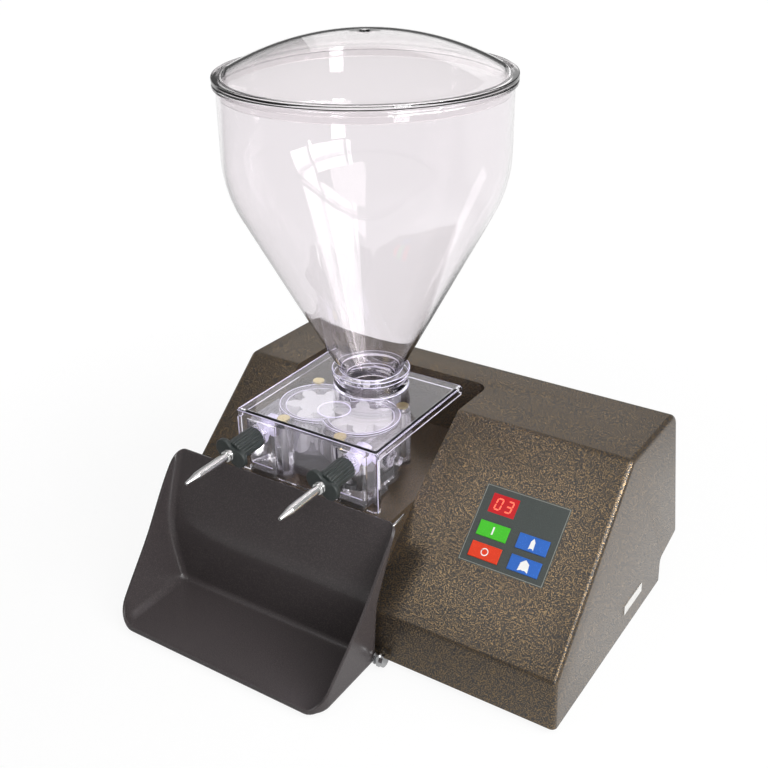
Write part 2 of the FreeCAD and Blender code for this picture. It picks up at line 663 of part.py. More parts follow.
case = case_outline(deck, lid_z, 0)
half_block = size("outlet_block_width") / 2
for cx in outlets.values():
    lump = Part.makeBox(2 * half_block, gy - size("outlet_block_front") - 10,
                        lid_z - deck - size("outlet_block_low"),
                        Vec(cx - half_block, size("outlet_block_front"), deck + size("outlet_block_low")))
    upright = near_edges(lump, lambda e, p: abs(p.y - size("outlet_block_front")) < 1e-3
                         and abs(e.Vertexes[0].Point.z - e.Vertexes[1].Point.z) > 1)
    lump = lump.makeFillet(4, upright)
    case = case.fuse(lump)
    toe = size("flange_half")
    case = case.fuse(Part.makeBox(2 * toe, gy - size("flange_front") - 20, size("flange_height"),
                                  Vec(cx - toe, size("flange_front"), deck)))
    oz = size("outlet_z")
    case = case.fuse(Part.makeCylinder(size("boss_radius"), size("outlet_block_front") - size("boss_front") + 2,
                                       Vec(cx, size("outlet_block_front") + 2, oz), -Y))
    case = case.fuse(Part.makeCylinder(size("thread_radius"), size("outlet_block_front") - size("thread_front") + 2,
                                       Vec(cx, size("outlet_block_front") + 2, oz), -Y))
for cx in (idler_x, drive_x):
    case = case.cut(Part.makeCylinder(chamber_r, 200, Vec(cx, gy, floor_z)))
case = case.cut(Part.makeCylinder(size("well_radius"), 200, Vec(px, wy, floor_z)))
case = case.cut(Part.makeBox(28, wy - gy, 200, Vec(px - 14, gy + 10, floor_z)))
for cx in outlets.values():
    case = case.cut(Part.makeCylinder(size("outlet_bore"), gy - 20, Vec(cx, 0, size("outlet_z")), Y))
case = case.cut(Part.makeCylinder(size("shaft_radius") + size("running_gap"), 60,
                                  Vec(drive_x, gy, deck - 1)))
case = case.cut(Part.makeCylinder(size("seal_radius"), size("seal_height") + 1, Vec(drive_x, gy, deck - 1)))
case = case.cut(Part.makeCylinder(size("idler_radius"), 20, Vec(idler_x, gy, floor_z - 12)))
keep("pump_body", form("PumpBody", case.removeSplitter()))

lid = case_outline(lid_z, lid_top, -1.0)
lid = lid.fuse(Part.makeCylinder(size("well_radius") + size("well_wall") - 1,
                                 size("cover_top") - size("cover_wall") - lid_top - size("seat_gap"),
                                 Vec(px, wy, lid_top)))
lid = lid.cut(Part.makeCylinder(size("well_radius"), 60, Vec(px, wy, lid_z - 5)))
keep("pump_lid", form("PumpLid", lid.removeSplitter()))

# flat headed lid screws standing on the lid over the pillars
lid_top_rule = "deck_z + chamber_floor + 2 * face_gap + gear_height + lid_thickness"
for i, (row, way) in enumerate((("back", "-"), ("front", "-"), ("front", "+"), ("back", "+")), 1):
    keep("lid_screw_%d" % i, rod("LidScrew%d" % i,
         ("pump_x %s pillar_%s_half" % (way, row), "pillar_%s_y" % row, lid_top_rule),
         "screw_head_radius", "screw_head_height"))

keep("shaft_seal", spun("ShaftSeal", ("pump_x + gear_spacing / 2", "gear_y", "deck_z"),
     "XZ_Plane", "V_Axis",
     [("shaft_radius + running_gap", "0"), ("seal_radius", "0"), ("seal_radius", "seal_height"),
      ("shaft_radius + running_gap", "seal_height")]))
keep("idler_pin", rod("IdlerPin", ("pump_x - gear_spacing / 2", "gear_y", "deck_z + chamber_floor - 12"),
                      "idler_radius", "12 + face_gap + gear_height"))


def gear_shape(bore, phase):
    # involute gear with a wide pressure angle and shortened teeth; each flank is five short runs
    # with their ends on the involute, so that it never stands outside it
    n = int(size("gear_teeth"))
    pitch = size("gear_spacing") / 2
    base = pitch * math.cos(math.radians(30))
    tip, root = size("gear_tip"), size("gear_root")

    def inv(r):
        a = math.acos(min(1.0, base / r))
        return math.tan(a) - a
    half_tooth = math.pi / (2 * n) - size("gear_backlash") / 2 / pitch
    flank = []
    start = max(base, root) + 1e-3
    for k in range(6):
        r = start + (tip - start) * k / 5.0
        flank.append((r, half_tooth + inv(pitch) - inv(r)))
    edges = []

    def spot(r, a):
        return Vec(r * math.cos(a), r * math.sin(a), 0)
    for k in range(n):
        mid = phase + 2 * math.pi * k / n
        nxt = mid + 2 * math.pi / n
        up = [spot(r, mid - a) for r, a in flank]
        down = [spot(r, mid + a) for r, a in reversed(flank)]
        foot_in = spot(root, mid - flank[0][1])
        foot_out = spot(root, mid + flank[0][1])
        if root < start:
            edges.append(Part.LineSegment(foot_in, up[0]).toShape())
        for a, b in zip(up, up[1:]):
            edges.append(Part.LineSegment(a, b).toShape())
        edges.append(Part.Arc(up[-1], spot(tip, mid), down[0]).toShape())
        for a, b in zip(down, down[1:]):
            edges.append(Part.LineSegment(a, b).toShape())
        if root < start:
            edges.append(Part.LineSegment(down[-1], foot_out).toShape())
        edges.append(Part.Arc(foot_out, spot(root, (mid + nxt) / 2),
                              spot(root, nxt - flank[0][1])).toShape())
    solid = Part.Face(Part.Wire(edges)).extrude(Z * size("gear_height"))
    return solid.cut(Part.makeCylinder(bore, 200, Vec(0, 0, -50)))


# the drive gear sits on the shaft's shoulder; the driven gear turns on its pin
drive = gear_shape(size("shaft_radius"), math.pi)
keep("drive_gear", form("DriveGear", drive, Placement(Vec(drive_x, gy, gear_z), Rotation())))
driven = gear_shape(size("idler_radius") + size("running_gap"), math.pi / size("gear_teeth"))
keep("driven_gear", form("DrivenGear", driven, Placement(Vec(idler_x, gy, gear_z), Rotation())))
keep("drive_shaft", rod("DriveShaft", ("pump_x + gear_spacing / 2", "gear_y", "shaft_bottom"),
     "shaft_radius",
     "deck_z + chamber_floor + face_gap + gear_height - shaft_bottom"))

# plug in the pump's right wall
keep("side_plug", spun("SidePlug", ("pump_x + outlet_half + outlet_block_width / 2", "plug_y", "plug_z"),
     "XZ_Plane", "H_Axis",
     [("0", "0"), ("0", "plug_radius"), ("plug_flange", "plug_radius"), ("plug_flange", "plug_stem"),
      ("plug_length", "plug_stem"), ("plug_length", "0")]))

# The nozzles and their nuts, one pair at each outlet.
ring_front = "wing_back - wing_thickness - nozzle_ring_length - nozzle_tip_y"
for side, cx in outlets.items():
    oz = size("outlet_z")
    n = int(size("nut_flutes"))
    pts = []
    for k in range(n):
        a = 2 * math.pi * k / n
        w = math.pi / n
        for da, r in ((0, 1.0), (w, 1 - size("nut_flute_depth"))):
            rr = size("nut_radius") * r
            pts.append(Vec(cx + rr * math.cos(a + da), size("wing_back"), oz + rr * math.sin(a + da)))
    hub = Part.Face(Part.makePolygon(pts + [pts[0]])).extrude(Y * (size("nut_back") - size("wing_back")))
    wl, ww, wt = size("wing_length") / 2, size("wing_width") / 2, size("wing_thickness")
    wing = Part.makeCylinder(ww, wt, Vec(-(wl - ww), 0, 0)).fuse(
        Part.makeCylinder(ww, wt, Vec(wl - ww, 0, 0))).fuse(
        Part.makeBox(2 * (wl - ww), 2 * ww * size("wing_waist"), wt, Vec(-(wl - ww), -ww * size("wing_waist"), 0)))
    wing = wing.removeSplitter()
    wing.Placement = Placement(Vec(cx, size("wing_back") - wt, oz),
                               Rotation(Y, -size("wing_angle")).multiply(Rotation(X, -90)))
    nut = hub.fuse(wing)
    nut = nut.cut(Part.makeCylinder(size("thread_radius") + size("running_gap"), 60,
                                    Vec(cx, size("wing_back"), oz), Y))
    nut = nut.cut(Part.makeCylinder(size("nozzle_radius") + size("running_gap"), 60,
                                    Vec(cx, size("wing_back") - 30, oz), Y))
    keep("nozzle_nut_" + side, form("NozzleNut" + side.title(), nut))

    # the tube, revolved: its point, a plain run, two rings at the root, and a flange that the
    # nut presses against the thread's end; lengths are counted from the tip
    keep("nozzle_" + side, spun("Nozzle" + side.title(),
         ("pump_x %s outlet_half" % ("-" if side == "left" else "+"), "nozzle_tip_y", "outlet_z"),
         "XY_Plane", "V_Axis",
         [(r, y) for r, y in (
             ("nozzle_mouth", "0"), ("nozzle_point", "0"), ("nozzle_radius", "nozzle_cone"),
             ("nozzle_radius", ring_front), ("nozzle_ring", ring_front),
             ("nozzle_ring", ring_front + " + nozzle_ring_length * 0.4"),
             ("nozzle_ring - nozzle_groove", ring_front + " + nozzle_ring_length * 0.4"),
             ("nozzle_ring - nozzle_groove", ring_front + " + nozzle_ring_length * 0.6"),
             ("nozzle_ring", ring_front + " + nozzle_ring_length * 0.6"),
             ("nozzle_ring", "wing_back - wing_thickness - nozzle_tip_y"),
             ("nozzle_radius", "wing_back - wing_thickness - nozzle_tip_y"),
             ("nozzle_radius", "wing_back - nozzle_tip_y"),
             ("nozzle_flange", "wing_back - nozzle_tip_y"),
             ("nozzle_flange", "thread_front - face_gap - nozzle_tip_y"),
             ("nozzle_bore", "thread_front - face_gap - nozzle_tip_y"),
             ("nozzle_bore", "nozzle_cone"))]))

# The clear cover over the pump, with the collar that carries the hopper.
cl, cr, cf, cb = size("cover_left"), size("cover_right"), size("cover_front"), size("cover_back")
ct, cw = size("cover_top"), size("cover_wall")
skirt_low = deck + size("cover_foot_gap")
body = Part.makeBox(cr - cl, cb - cf, ct - skirt_low, Vec(cl, cf, skirt_low))
edges = near_edges(body, lambda e, p: p.z > ct - 1e-3 or (abs(e.Vertexes[0].Point.z - e.Vertexes[1].Point.z) > 5))
body = body.makeFillet(size("cover_radius"), edges)
hollow = Part.makeBox(cr - cl - 2 * cw, cb - cf - 2 * cw, ct - skirt_low, Vec(cl + cw, cf + cw, skirt_low - cw))
body = body.cut(hollow)
behind = Part.makeBox(cr - cl + 20, cb - cf, ct - size("cover_lip") - skirt_low + 5,
                      Vec(cl - 10, cf + cw + 3, skirt_low - 5))
body = body.cut(behind)
wy = size("well_y")
sg = size("seat_gap")
notch_top = max(lid_z, size("outlet_z") + size("boss_radius")) + size("notch_gap")
for cx in outlets.values():
    w = half_block + size("notch_gap")
    body = body.cut(Part.makeBox(2 * w, 2 * cw + 6, notch_top - skirt_low + 5,
                                 Vec(cx - w, cf - 2, skirt_low - 5)))
ccr = size("collar_radius")
zc = size("collar_top")
collar = turned([Vec(px, wy, ct - cw), Vec(px + ccr - 2, wy, ct - cw), Vec(px + ccr - 2, wy, zc - 6),
                 Vec(px + ccr, wy, zc - 5), Vec(px + ccr, wy, zc - 1), Vec(px + ccr - 1, wy, zc),
                 Vec(px, wy, zc)], Vec(px, wy, 0), Z)
body = body.fuse(collar)
mouth = turned([Vec(px, wy, ct - cw - 1), Vec(px + size("collar_bore"), wy, ct - cw - 1),
                Vec(px + size("collar_bore"), wy, zc - size("collar_seat")),
                Vec(px + size("collar_mouth"), wy, zc), Vec(px + size("collar_mouth"), wy, zc + 1),
                Vec(px, wy, zc + 1)], Vec(px, wy, 0), Z)
body = body.cut(mouth)
keep("clear_cover", form("ClearCover", body.removeSplitter()))

# The hopper, a funnel revolved about the inlet well's axis.
hr, hw = size("hopper_radius"), size("hopper_wall")
slope_r = size("hopper_cone_slope")
nr = size("neck_radius")
cone_start = zc - size("collar_seat") + sg + (nr - size("collar_bore")) / slope_r


def cone_radius(z):
    return nr + slope_r * (z - cone_start)


tilt = math.atan(slope_r)
sh = size("hopper_shoulder")
sharp = cone_start + (hr - nr) / slope_r
reach = sh - sharp
outer_radius = reach / math.tan(tilt / 2) if reach > 0 else 60.0


def hopper_line(offset):
    # outline from the neck up: cone, tangent shoulder arc, cylinder
    grow = offset / math.cos(tilt)
    corner = Vec(px + hr - offset, wy, cone_start + (hr - offset - nr + grow) / slope_r)
    radius = outer_radius - offset
    half_turn = tilt / 2
    back = radius * math.tan(half_turn)
    down = Vec(math.sin(tilt), 0, math.cos(tilt)) * -back
    start = corner + down
    end = corner + Z * back
    centre = end - X * radius
    mid_dir = Vec(math.cos(half_turn), 0, -math.sin(half_turn))
    crown = centre + mid_dir * radius
    return start, crown, end


rim_z, rim_r, rim_h = size("hopper_rim_z"), size("hopper_rim_radius"), size("hopper_rim_height")
s0, c0, e0 = hopper_line(0)
s1, c1, e1 = hopper_line(hw)
nb, sr, sb = size("neck_bottom"), size("spigot_radius"), size("spigot_bottom")
bore = sr - hw
inner_low_r = bore
cone_low = cone_start + (inner_low_r - nr + hw / math.cos(tilt)) / slope_r
edges = []
path = [Vec(px + bore, wy, sb), Vec(px + sr, wy, sb), Vec(px + sr, wy, nb), Vec(px + nr, wy, nb),
        Vec(px + nr, wy, cone_start), s0]
for a, b in zip(path, path[1:]):
    edges.append(Part.LineSegment(a, b).toShape())
edges.append(Part.Arc(s0, c0, e0).toShape())
lip = [e0, Vec(px + hr, wy, rim_z - rim_h)]
edges.append(Part.LineSegment(lip[0], lip[1]).toShape())
bead = rim_h / 2
edges.append(Part.LineSegment(lip[1], Vec(px + rim_r - bead, wy, rim_z - rim_h)).toShape())
edges.append(Part.Arc(Vec(px + rim_r - bead, wy, rim_z - rim_h), Vec(px + rim_r, wy, rim_z - bead),
                      Vec(px + rim_r - bead, wy, rim_z)).toShape())
edges.append(Part.LineSegment(Vec(px + rim_r - bead, wy, rim_z), Vec(px + hr - hw, wy, rim_z)).toShape())
edges.append(Part.LineSegment(Vec(px + hr - hw, wy, rim_z), e1).toShape())
edges.append(Part.Arc(e1, c1, s1).toShape())
low = Vec(px + bore, wy, cone_low)
edges.append(Part.LineSegment(s1, low).toShape())
edges.append(Part.LineSegment(low, Vec(px + bore, wy, sb)).toShape())
hopper = Part.Face(Part.Wire(edges)).revolve(Vec(px, wy, 0), Z, 360)
keep("hopper", form("Hopper", hopper))

# domed lid: a flange on the rim, a skirt inside it, a shallow dome
dz = rim_z + sg
dt = size("dome_wall")
rise = size("dome_height")
fl = size("dome_flange")
span = hr - 4


def cap_arc(radius, height, base_z):
    ball = (radius * radius + height * height) / (2 * height)
    centre_z = base_z + height - ball
    half_a = math.asin(radius / ball) / 2
    mid = Vec(px + ball * math.sin(half_a), wy, centre_z + ball * math.cos(half_a))
    return Vec(px + radius, wy, base_z), mid, Vec(px, wy, base_z + height)


o0, om, o1 = cap_arc(span, rise - fl, dz + fl)
skirt_r = hr - hw - sg
i0, im, i1 = cap_arc(skirt_r - dt, rise - dt, dz)
edges = [
    Part.LineSegment(i1, o1).toShape(),
    Part.Arc(o1, om, o0).toShape(),
    Part.LineSegment(o0, Vec(px + rim_r - 1.2, wy, dz + fl)).toShape(),
    Part.LineSegment(Vec(px + rim_r - 1.2, wy, dz + fl), Vec(px + rim_r, wy, dz + fl - 1.2)).toShape(),
    Part.LineSegment(Vec(px + rim_r, wy, dz + fl - 1.2), Vec(px + rim_r, wy, dz)).toShape(),
    Part.LineSegment(Vec(px + rim_r, wy, dz), Vec(px + skirt_r, wy, dz)).toShape(),
    Part.LineSegment(Vec(px + skirt_r, wy, dz), Vec(px + skirt_r, wy, dz - size("dome_skirt"))).toShape(),
    Part.LineSegment(Vec(px + skirt_r, wy, dz - size("dome_skirt")),
                     Vec(px + skirt_r - dt, wy, dz - size("dome_skirt"))).toShape(),
    Part.LineSegment(Vec(px + skirt_r - dt, wy, dz - size("dome_skirt")), i0).toShape(),
    Part.Arc(i0, im, i1).toShape(),
]
dome = Part.Face(Part.Wire(edges)).revolve(Vec(px, wy, 0), Z, 360)
gate = Part.makeCylinder(5.5, 4, Vec(px, wy, dz + rise - 2.5))
keep("hopper_lid", form("HopperLid", dome.fuse(gate)))

# The scoop tray: a drafted tub with rounded front corners, cut to the side outline and hollowed.
tw = size("tray_wall")
tg = size("tray_gap")
tb, tt, tf = size("tray_bottom"), size("tray_top"), size("tray_front")
back_y = size("block_front") - tg
low_back = size("front_y") - tg
bend_low = size("band_top") + 3.0
bend_high = bend_low + (back_y - low_back) * math.tan(slope)


def tub(inset, low, high):
    # the tray's plan outline with rounded front corners, growing wider upwards
    wires = []
    for level in (low, high):
        lean_out = size("tray_flare") * (level - tb) / (tt - tb)
        left = size("tray_left") + inset - lean_out
        right = size("tray_right") - inset + lean_out
        front, rear = tf + inset, size("front_y") + 200
        corner = size("tray_corner") - inset
        wires.append(rounded_wire([(Vec(left, front, level), corner), (Vec(right, front, level), corner),
                                   (Vec(right, rear, level), 0.0), (Vec(left, rear, level), 0.0)]))
    return Part.makeLoft(wires, True, True)


rim_y, rim_z = size("tray_rim_y"), size("tray_rim_z")
tray_line = [(low_back, tb, 6), (low_back, bend_low, 6), (back_y, bend_high, 6), (back_y, tt, 0),
             (back_y - size("tray_top_depth"), tt, 4), (rim_y, rim_z, 30), (tf, size("tray_lip"), 3), (tf + 4, tb, 4)]
tray = slab([(Vec(0, y, z), r) for y, z, r in tray_line], X, -400, 400).common(tub(0, tb, tt))
left_top, right_top = size("tray_left") - size("tray_flare"), size("tray_right") + size("tray_flare")
nose = size("tray_top_corner")
for edge, way in ((left_top, 1), (right_top, -1)):
    # what lies outside a quarter round at this rear top corner is taken away
    along_top, down_side = Vec(edge + way * nose, 0, tt), Vec(edge + way * 0.3, 0, tt - nose)
    crown = Vec(edge + way * nose * 0.3, 0, tt - nose * 0.3)
    corner = [Part.Arc(along_top, crown, down_side).toShape(),
              Part.LineSegment(down_side, down_side - X * way * 9).toShape(),
              Part.LineSegment(down_side - X * way * 9, Vec(down_side.x - way * 9, 0, tt + 5)).toShape(),
              Part.LineSegment(Vec(down_side.x - way * 9, 0, tt + 5), along_top + Z * 5).toShape(),
              Part.LineSegment(along_top + Z * 5, along_top).toShape()]
    cutter = Part.Face(Part.Wire(corner)).extrude(Y * 80)
    cutter.translate(Y * (back_y - 70))
    tray = tray.cut(cutter)
inner_line = [(low_back - tw, tb + tw, 12), (low_back - tw, bend_low + 1.3, 12),
              (back_y - tw, bend_high + 1.3, 12), (back_y - tw, 400, 0), (-300, 400, 0), (-300, 120, 0),
              (tf + 1, tb + tw + 30, 0), (tf + 1, tb + tw, 3)]
scoop = slab([(Vec(0, y, z), r) for y, z, r in inner_line], X, -400, 400).common(tub(tw, tb, tt + 0.5))
tray = tray.cut(scoop)
keep("drip_tray", form("DripTray", tray.removeSplitter()))

# a bright steel strip hooked over the right end of the tray's rear edge
keep("tray_hanger", raised("TrayHanger",
     ("tray_right + tray_flare - hanger_in - hanger_width / 2", "block_front - tray_gap", "tray_top"),
     "YZ_Plane", [("-hanger_front", "0"), ("-hanger_front", "hanger_thickness"),
                  ("hanger_back", "hanger_thickness"), ("hanger_back", "0")], "hanger_width"))

# locating studs beside the tray: a pin with a washer and a round nut, held by a small lug
lug_at = "stud_gap + stud_nut_at - lug_thickness / 2"
for side, way, edge, turn in (("right", "+", "tray_right", None), ("left", "-", "tray_left", Rotation(Z, 180))):
    lug = raised("StudLug" + side.title(), ("%s %s (%s)" % (edge, way, lug_at), "stud_y", "stud_z"),
                 "YZ_Plane", [("-lug_front", "-lug_low"), ("front_y - stud_y", "-lug_low"),
                              ("front_y - stud_y", "lug_high"), ("-lug_front", "lug_high")],
                 "lug_thickness")
    keep("stud_lug_" + side, bored(lug, "StudLug" + side.title(), "YZ_Plane", "stud_pin"))
    keep("tray_stud_" + side, spun("TrayStud" + side.title(),
         ("%s %s stud_gap" % (edge, way), "stud_y", "stud_z"), "XZ_Plane", "H_Axis",
         [("0", "0"), ("0", "stud_pin"), ("stud_washer_at", "stud_pin"), ("stud_washer_at", "stud_radius"),
          ("stud_washer_at + stud_washer", "stud_radius"), ("stud_washer_at + stud_washer", "stud_pin"),
          ("stud_nut_at", "stud_pin"), ("stud_nut_at", "stud_radius"),
          ("stud_nut_at + stud_nut", "stud_radius"), ("stud_nut_at + stud_nut", "0")], turn))

# The drive under the deck.
gb = size("gearbox_size")
gh = size("gearbox_height")
br_top = deck - wall - size("standoff_height")
br_low = br_top - size("bracket_thickness")
bracket = Part.makeBox(gb + 36, gb + 12, size("bracket_thickness"),
                       Vec(drive_x - gb / 2 - 18, gy - gb / 2 - 6, br_low))
for fx in (-1, 1):
    for fy in (-1, 1):
        bracket = bracket.fuse(Part.makeCylinder(5, size("standoff_height"),
                               Vec(drive_x + fx * (gb / 2 + 11), gy + fy * (gb / 2 - 4), br_top)))
bracket = bracket.cut(Part.makeCylinder(14, 40, Vec(drive_x, gy, br_low - 10)))
keep("motor_bracket", form("MotorBracket", bracket))
gearbox = Part.makeBox(gb, gb, gh, Vec(drive_x - gb / 2, gy - gb / 2, br_low - gh))
upright = near_edges(gearbox, lambda e, p: abs(e.Vertexes[0].Point.z - e.Vertexes[1].Point.z) > 5)
gearbox = gearbox.makeFillet(6, upright)
gearbox = gearbox.fuse(Part.makeCylinder(13, size("bracket_thickness") + 4, Vec(drive_x, gy, br_low)))
gearbox = gearbox.cut(Part.makeCylinder(size("shaft_radius") + size("running_gap"), 100,
                                        Vec(drive_x, gy, size("shaft_bottom") - 0.3)))
keep("gearbox", form("Gearbox", gearbox))
keep("motor", rod("Motor", ("pump_x + gear_spacing / 2", "gear_y",
     "deck_z - wall - standoff_height - bracket_thickness - gearbox_height - motor_length"),
     "motor_radius", "motor_length"))

keep("power_supply", box("PowerSupply",
    ("housing_half_width - supply_inset - supply_width", "supply_y", "foot_height + plate_thickness"),
    ("supply_width", "supply_depth", "supply_height")))

# Checks and files.
doc.recompute()
bad = [o.Label for o in doc.Objects if "Invalid" in o.State or "Error" in o.State]
if bad:
    raise SystemExit("objects in error: %s" % bad)
for name, obj in nodes.items():
    shape = obj.Shape
    if shape.isNull() or not shape.isValid():
        raise SystemExit("bad shape: " + name)
    if len(shape.Solids) != 1:
        raise SystemExit("%s has %d solids" % (name, len(shape.Solids)))
for name, obj in nodes.items():
    obj.Shape.exportStep("parts/%s.step" % name)
print(len(nodes), "pieces written")
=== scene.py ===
import json
import math

import bpy
import bmesh
import numpy as np
from mathutils import Matrix, Vector

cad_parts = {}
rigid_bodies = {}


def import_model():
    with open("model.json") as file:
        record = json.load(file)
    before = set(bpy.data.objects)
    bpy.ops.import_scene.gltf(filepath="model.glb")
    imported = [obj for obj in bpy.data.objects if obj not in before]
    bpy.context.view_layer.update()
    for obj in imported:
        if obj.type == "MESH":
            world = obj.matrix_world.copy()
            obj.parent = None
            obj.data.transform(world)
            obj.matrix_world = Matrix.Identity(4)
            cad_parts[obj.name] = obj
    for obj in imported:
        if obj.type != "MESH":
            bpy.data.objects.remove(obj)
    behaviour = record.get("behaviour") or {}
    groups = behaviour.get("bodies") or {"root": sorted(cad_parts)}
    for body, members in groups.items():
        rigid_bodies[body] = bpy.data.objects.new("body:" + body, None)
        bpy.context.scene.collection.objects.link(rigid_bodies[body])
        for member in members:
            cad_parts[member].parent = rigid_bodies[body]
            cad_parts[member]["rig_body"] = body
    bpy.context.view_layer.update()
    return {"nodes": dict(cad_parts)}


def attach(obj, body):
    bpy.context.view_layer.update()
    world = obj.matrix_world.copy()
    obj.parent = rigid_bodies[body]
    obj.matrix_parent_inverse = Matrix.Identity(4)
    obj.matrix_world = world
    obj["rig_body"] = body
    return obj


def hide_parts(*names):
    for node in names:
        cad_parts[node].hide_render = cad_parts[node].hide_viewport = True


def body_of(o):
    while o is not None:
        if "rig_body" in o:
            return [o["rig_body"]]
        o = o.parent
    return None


# A bench machine that fills donuts: a moulded housing with a gear pump on its deck, a clear
# funnel hopper above, two nozzles over a scoop tray, and a keypad on the right pod.
# Lengths in each section are in millimetres as they are measured on the machine, with y
# counted from 15 mm ahead of the housing's band; here() turns them into the frame's metres.

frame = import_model()
body = frame["nodes"]
origin_y = 127.75


def here(points):
    """Millimetres on the machine to metres in the frame: y moves forward by the origin line."""
    return (np.asarray(points, float) - (0.0, origin_y, 0.0)) / 1000.0


# The view: the camera stands at the front right and above, where the photograph was taken.
# A normal lens, turned by less than a degree about its axis.
def stand_camera(place, azimuth, elevation, roll, lens):
    """Back direction from azimuth and elevation; right and up from it, then turned by roll."""
    az, el, lean = (math.radians(a) for a in (azimuth, elevation, roll))
    back = Vector((math.sin(az) * math.cos(el), -math.cos(az) * math.cos(el), math.sin(el)))
    right = (-back).cross(Vector((0, 0, 1))).normalized()
    up = right.cross(-back)
    across = right * math.cos(lean) + up * math.sin(lean)
    upward = up * math.cos(lean) - right * math.sin(lean)
    data = bpy.data.cameras.new("view")
    data.lens, data.sensor_width, data.clip_end = lens, 36.0, 100.0
    camera = bpy.data.objects.new("view", data)
    bpy.context.scene.collection.objects.link(camera)
    facing = Matrix((across, upward, back)).transposed()
    camera.matrix_world = Matrix.Translation(here(place)) @ facing.to_4x4()
    return camera


bpy.context.scene.camera = stand_camera((556.2, -740.5, 802.9), 33.28, 27.25, -0.77, 51.51)
bpy.context.scene.view_settings.view_transform = "Standard"


# The studio: a pale paper floor, a tall window with glazing bars at the right, and soft boxes
# above, in front, at the left and behind. Floor and room read white to the camera and through
# clear plastic.
def put(tree, kind, settings=(), **sockets):
    """A new shader node: settings are its own properties, and each socket takes a value or the
    output that feeds it. A name of one letter and a number means the input of that number."""
    node = tree.nodes.new("ShaderNode" + kind)
    for key, value in dict(settings).items():
        setattr(node, key, value)
    for key, value in sockets.items():
        socket = node.inputs[int(key[1:]) if key[1:].isdigit() else key.replace("_", " ")]
        if isinstance(value, bpy.types.NodeSocket):
            tree.links.new(value, socket)
        else:
            socket.default_value = value
    return node


def calc(tree, operation, *values):
    """The result of a math node on numbers or outputs."""
    sockets = {"i%d" % k: value for k, value in enumerate(values)}
    return put(tree, "Math", {"operation": operation}, **sockets).outputs[0]


def remap(tree, value, low, high, to_low, to_high, kind="LINEAR"):
    """A value carried from one range to another and held inside it."""
    return put(tree, "MapRange", {"interpolation_type": kind}, i0=value, i1=low, i2=high,
               i3=to_low, i4=to_high).outputs[0]


def seen_directly(tree, ray):
    """One for rays from the camera and for rays that have passed through clear plastic."""
    return calc(tree, "MAXIMUM", ray.outputs["Is Camera Ray"], ray.outputs["Is Transmission Ray"])


def fresh_material(name):
    """An empty material and its node tree."""
    material = bpy.data.materials.new(name)
    material.use_nodes = True
    material.node_tree.nodes.clear()
    return material, material.node_tree


def paper_floor():
    """Paper that shades as it is lit, mixed with plain white where it is seen. Near the machine the
    mix keeps some of its shadow; in glossy rays a painted pool of light, plain white, lies at its
    right and well behind it, so that glossy faces mirror a brighter floor there."""
    material, tree = fresh_material("studio paper")
    ray = put(tree, "LightPath")
    at = put(tree, "TexCoord").outputs["Object"]
    away = put(tree, "VectorMath", {"operation": "LENGTH"}, i0=at).outputs["Value"]
    plain_share = calc(tree, "MULTIPLY", seen_directly(tree, ray),
                       remap(tree, away, 0.45, 1.1, 0.82, 0.9))
    # Painted light: a pool of plain white that only glossy rays see, round a spot at the right and
    # beyond a depth behind, standing in for floor lit by the window.
    painted_pool_centre = (0.36, 0.2, 0.0)
    gap = put(tree, "VectorMath", {"operation": "DISTANCE"}, i0=at, i1=painted_pool_centre).outputs["Value"]
    depth = put(tree, "SeparateXYZ", Vector=at).outputs["Y"]
    near, behind = remap(tree, gap, 0.2, 0.5, 1.0, 0.0), remap(tree, depth, 0.55, 0.85, 0.0, 0.85)
    pale = calc(tree, "MAXIMUM", near, behind)
    sheen = calc(tree, "MULTIPLY", ray.outputs["Is Glossy Ray"], pale)
    share = calc(tree, "MAXIMUM", plain_share, sheen)
    lit = put(tree, "BsdfDiffuse", Color=(0.55, 0.55, 0.55, 1))
    plain = put(tree, "Emission", Color=(1, 1, 1, 1), Strength=1.1)
    mix = put(tree, "MixShader", i0=share, i1=lit.outputs[0], i2=plain.outputs[0])
    put(tree, "OutputMaterial", Surface=mix.outputs[0])
    half = 14.0
    mesh = bpy.data.meshes.new("floor")
    mesh.from_pydata([(-half, -half, 0), (half, -half, 0), (half, half, 0), (-half, half, 0)],
                     [], [(0, 1, 2, 3)])
    mesh.materials.append(material)
    floor = bpy.data.objects.new("floor", mesh)
    bpy.context.scene.collection.objects.link(floor)


paper_floor()


def white_room():
    """Surroundings: white to the camera and through glass, a mild sky for light and gloss."""
    world = bpy.data.worlds.new("room")
    bpy.context.scene.world = world
    world.use_nodes = True
    tree = world.node_tree
    tree.nodes.clear()
    way = put(tree, "TexCoord").outputs["Generated"]
    rise = put(tree, "SeparateXYZ", Vector=way).outputs["Z"]
    sky = remap(tree, rise, -0.1, 0.9, 0.14, 0.34)
    seen = seen_directly(tree, put(tree, "LightPath"))
    strength = put(tree, "Mix", {"data_type": "FLOAT"}, Factor=seen, A=sky, B=1.0)
    light = put(tree, "Background", Color=(1, 1, 1, 1), Strength=strength.outputs[0])
    put(tree, "OutputWorld", Surface=light.outputs[0])


white_room()


def soft_box(name, place, aim, width, height, power):
    """A rectangle of light that faces a point."""
    data = bpy.data.lights.new(name, "AREA")
    data.shape, data.size, data.size_y, data.energy = "RECTANGLE", width, height, power
    lamp = bpy.data.objects.new(name, data)
    bpy.context.scene.collection.objects.link(lamp)
    lamp.location = place
    lamp.rotation_euler = (Vector(aim) - Vector(place)).to_track_quat("-Z", "Y").to_euler()


# Metres in the frame: where the hopper's axis stands, and its mid height.
hopper_x, hopper_y, hopper_middle = -0.074, 0.065, 0.35


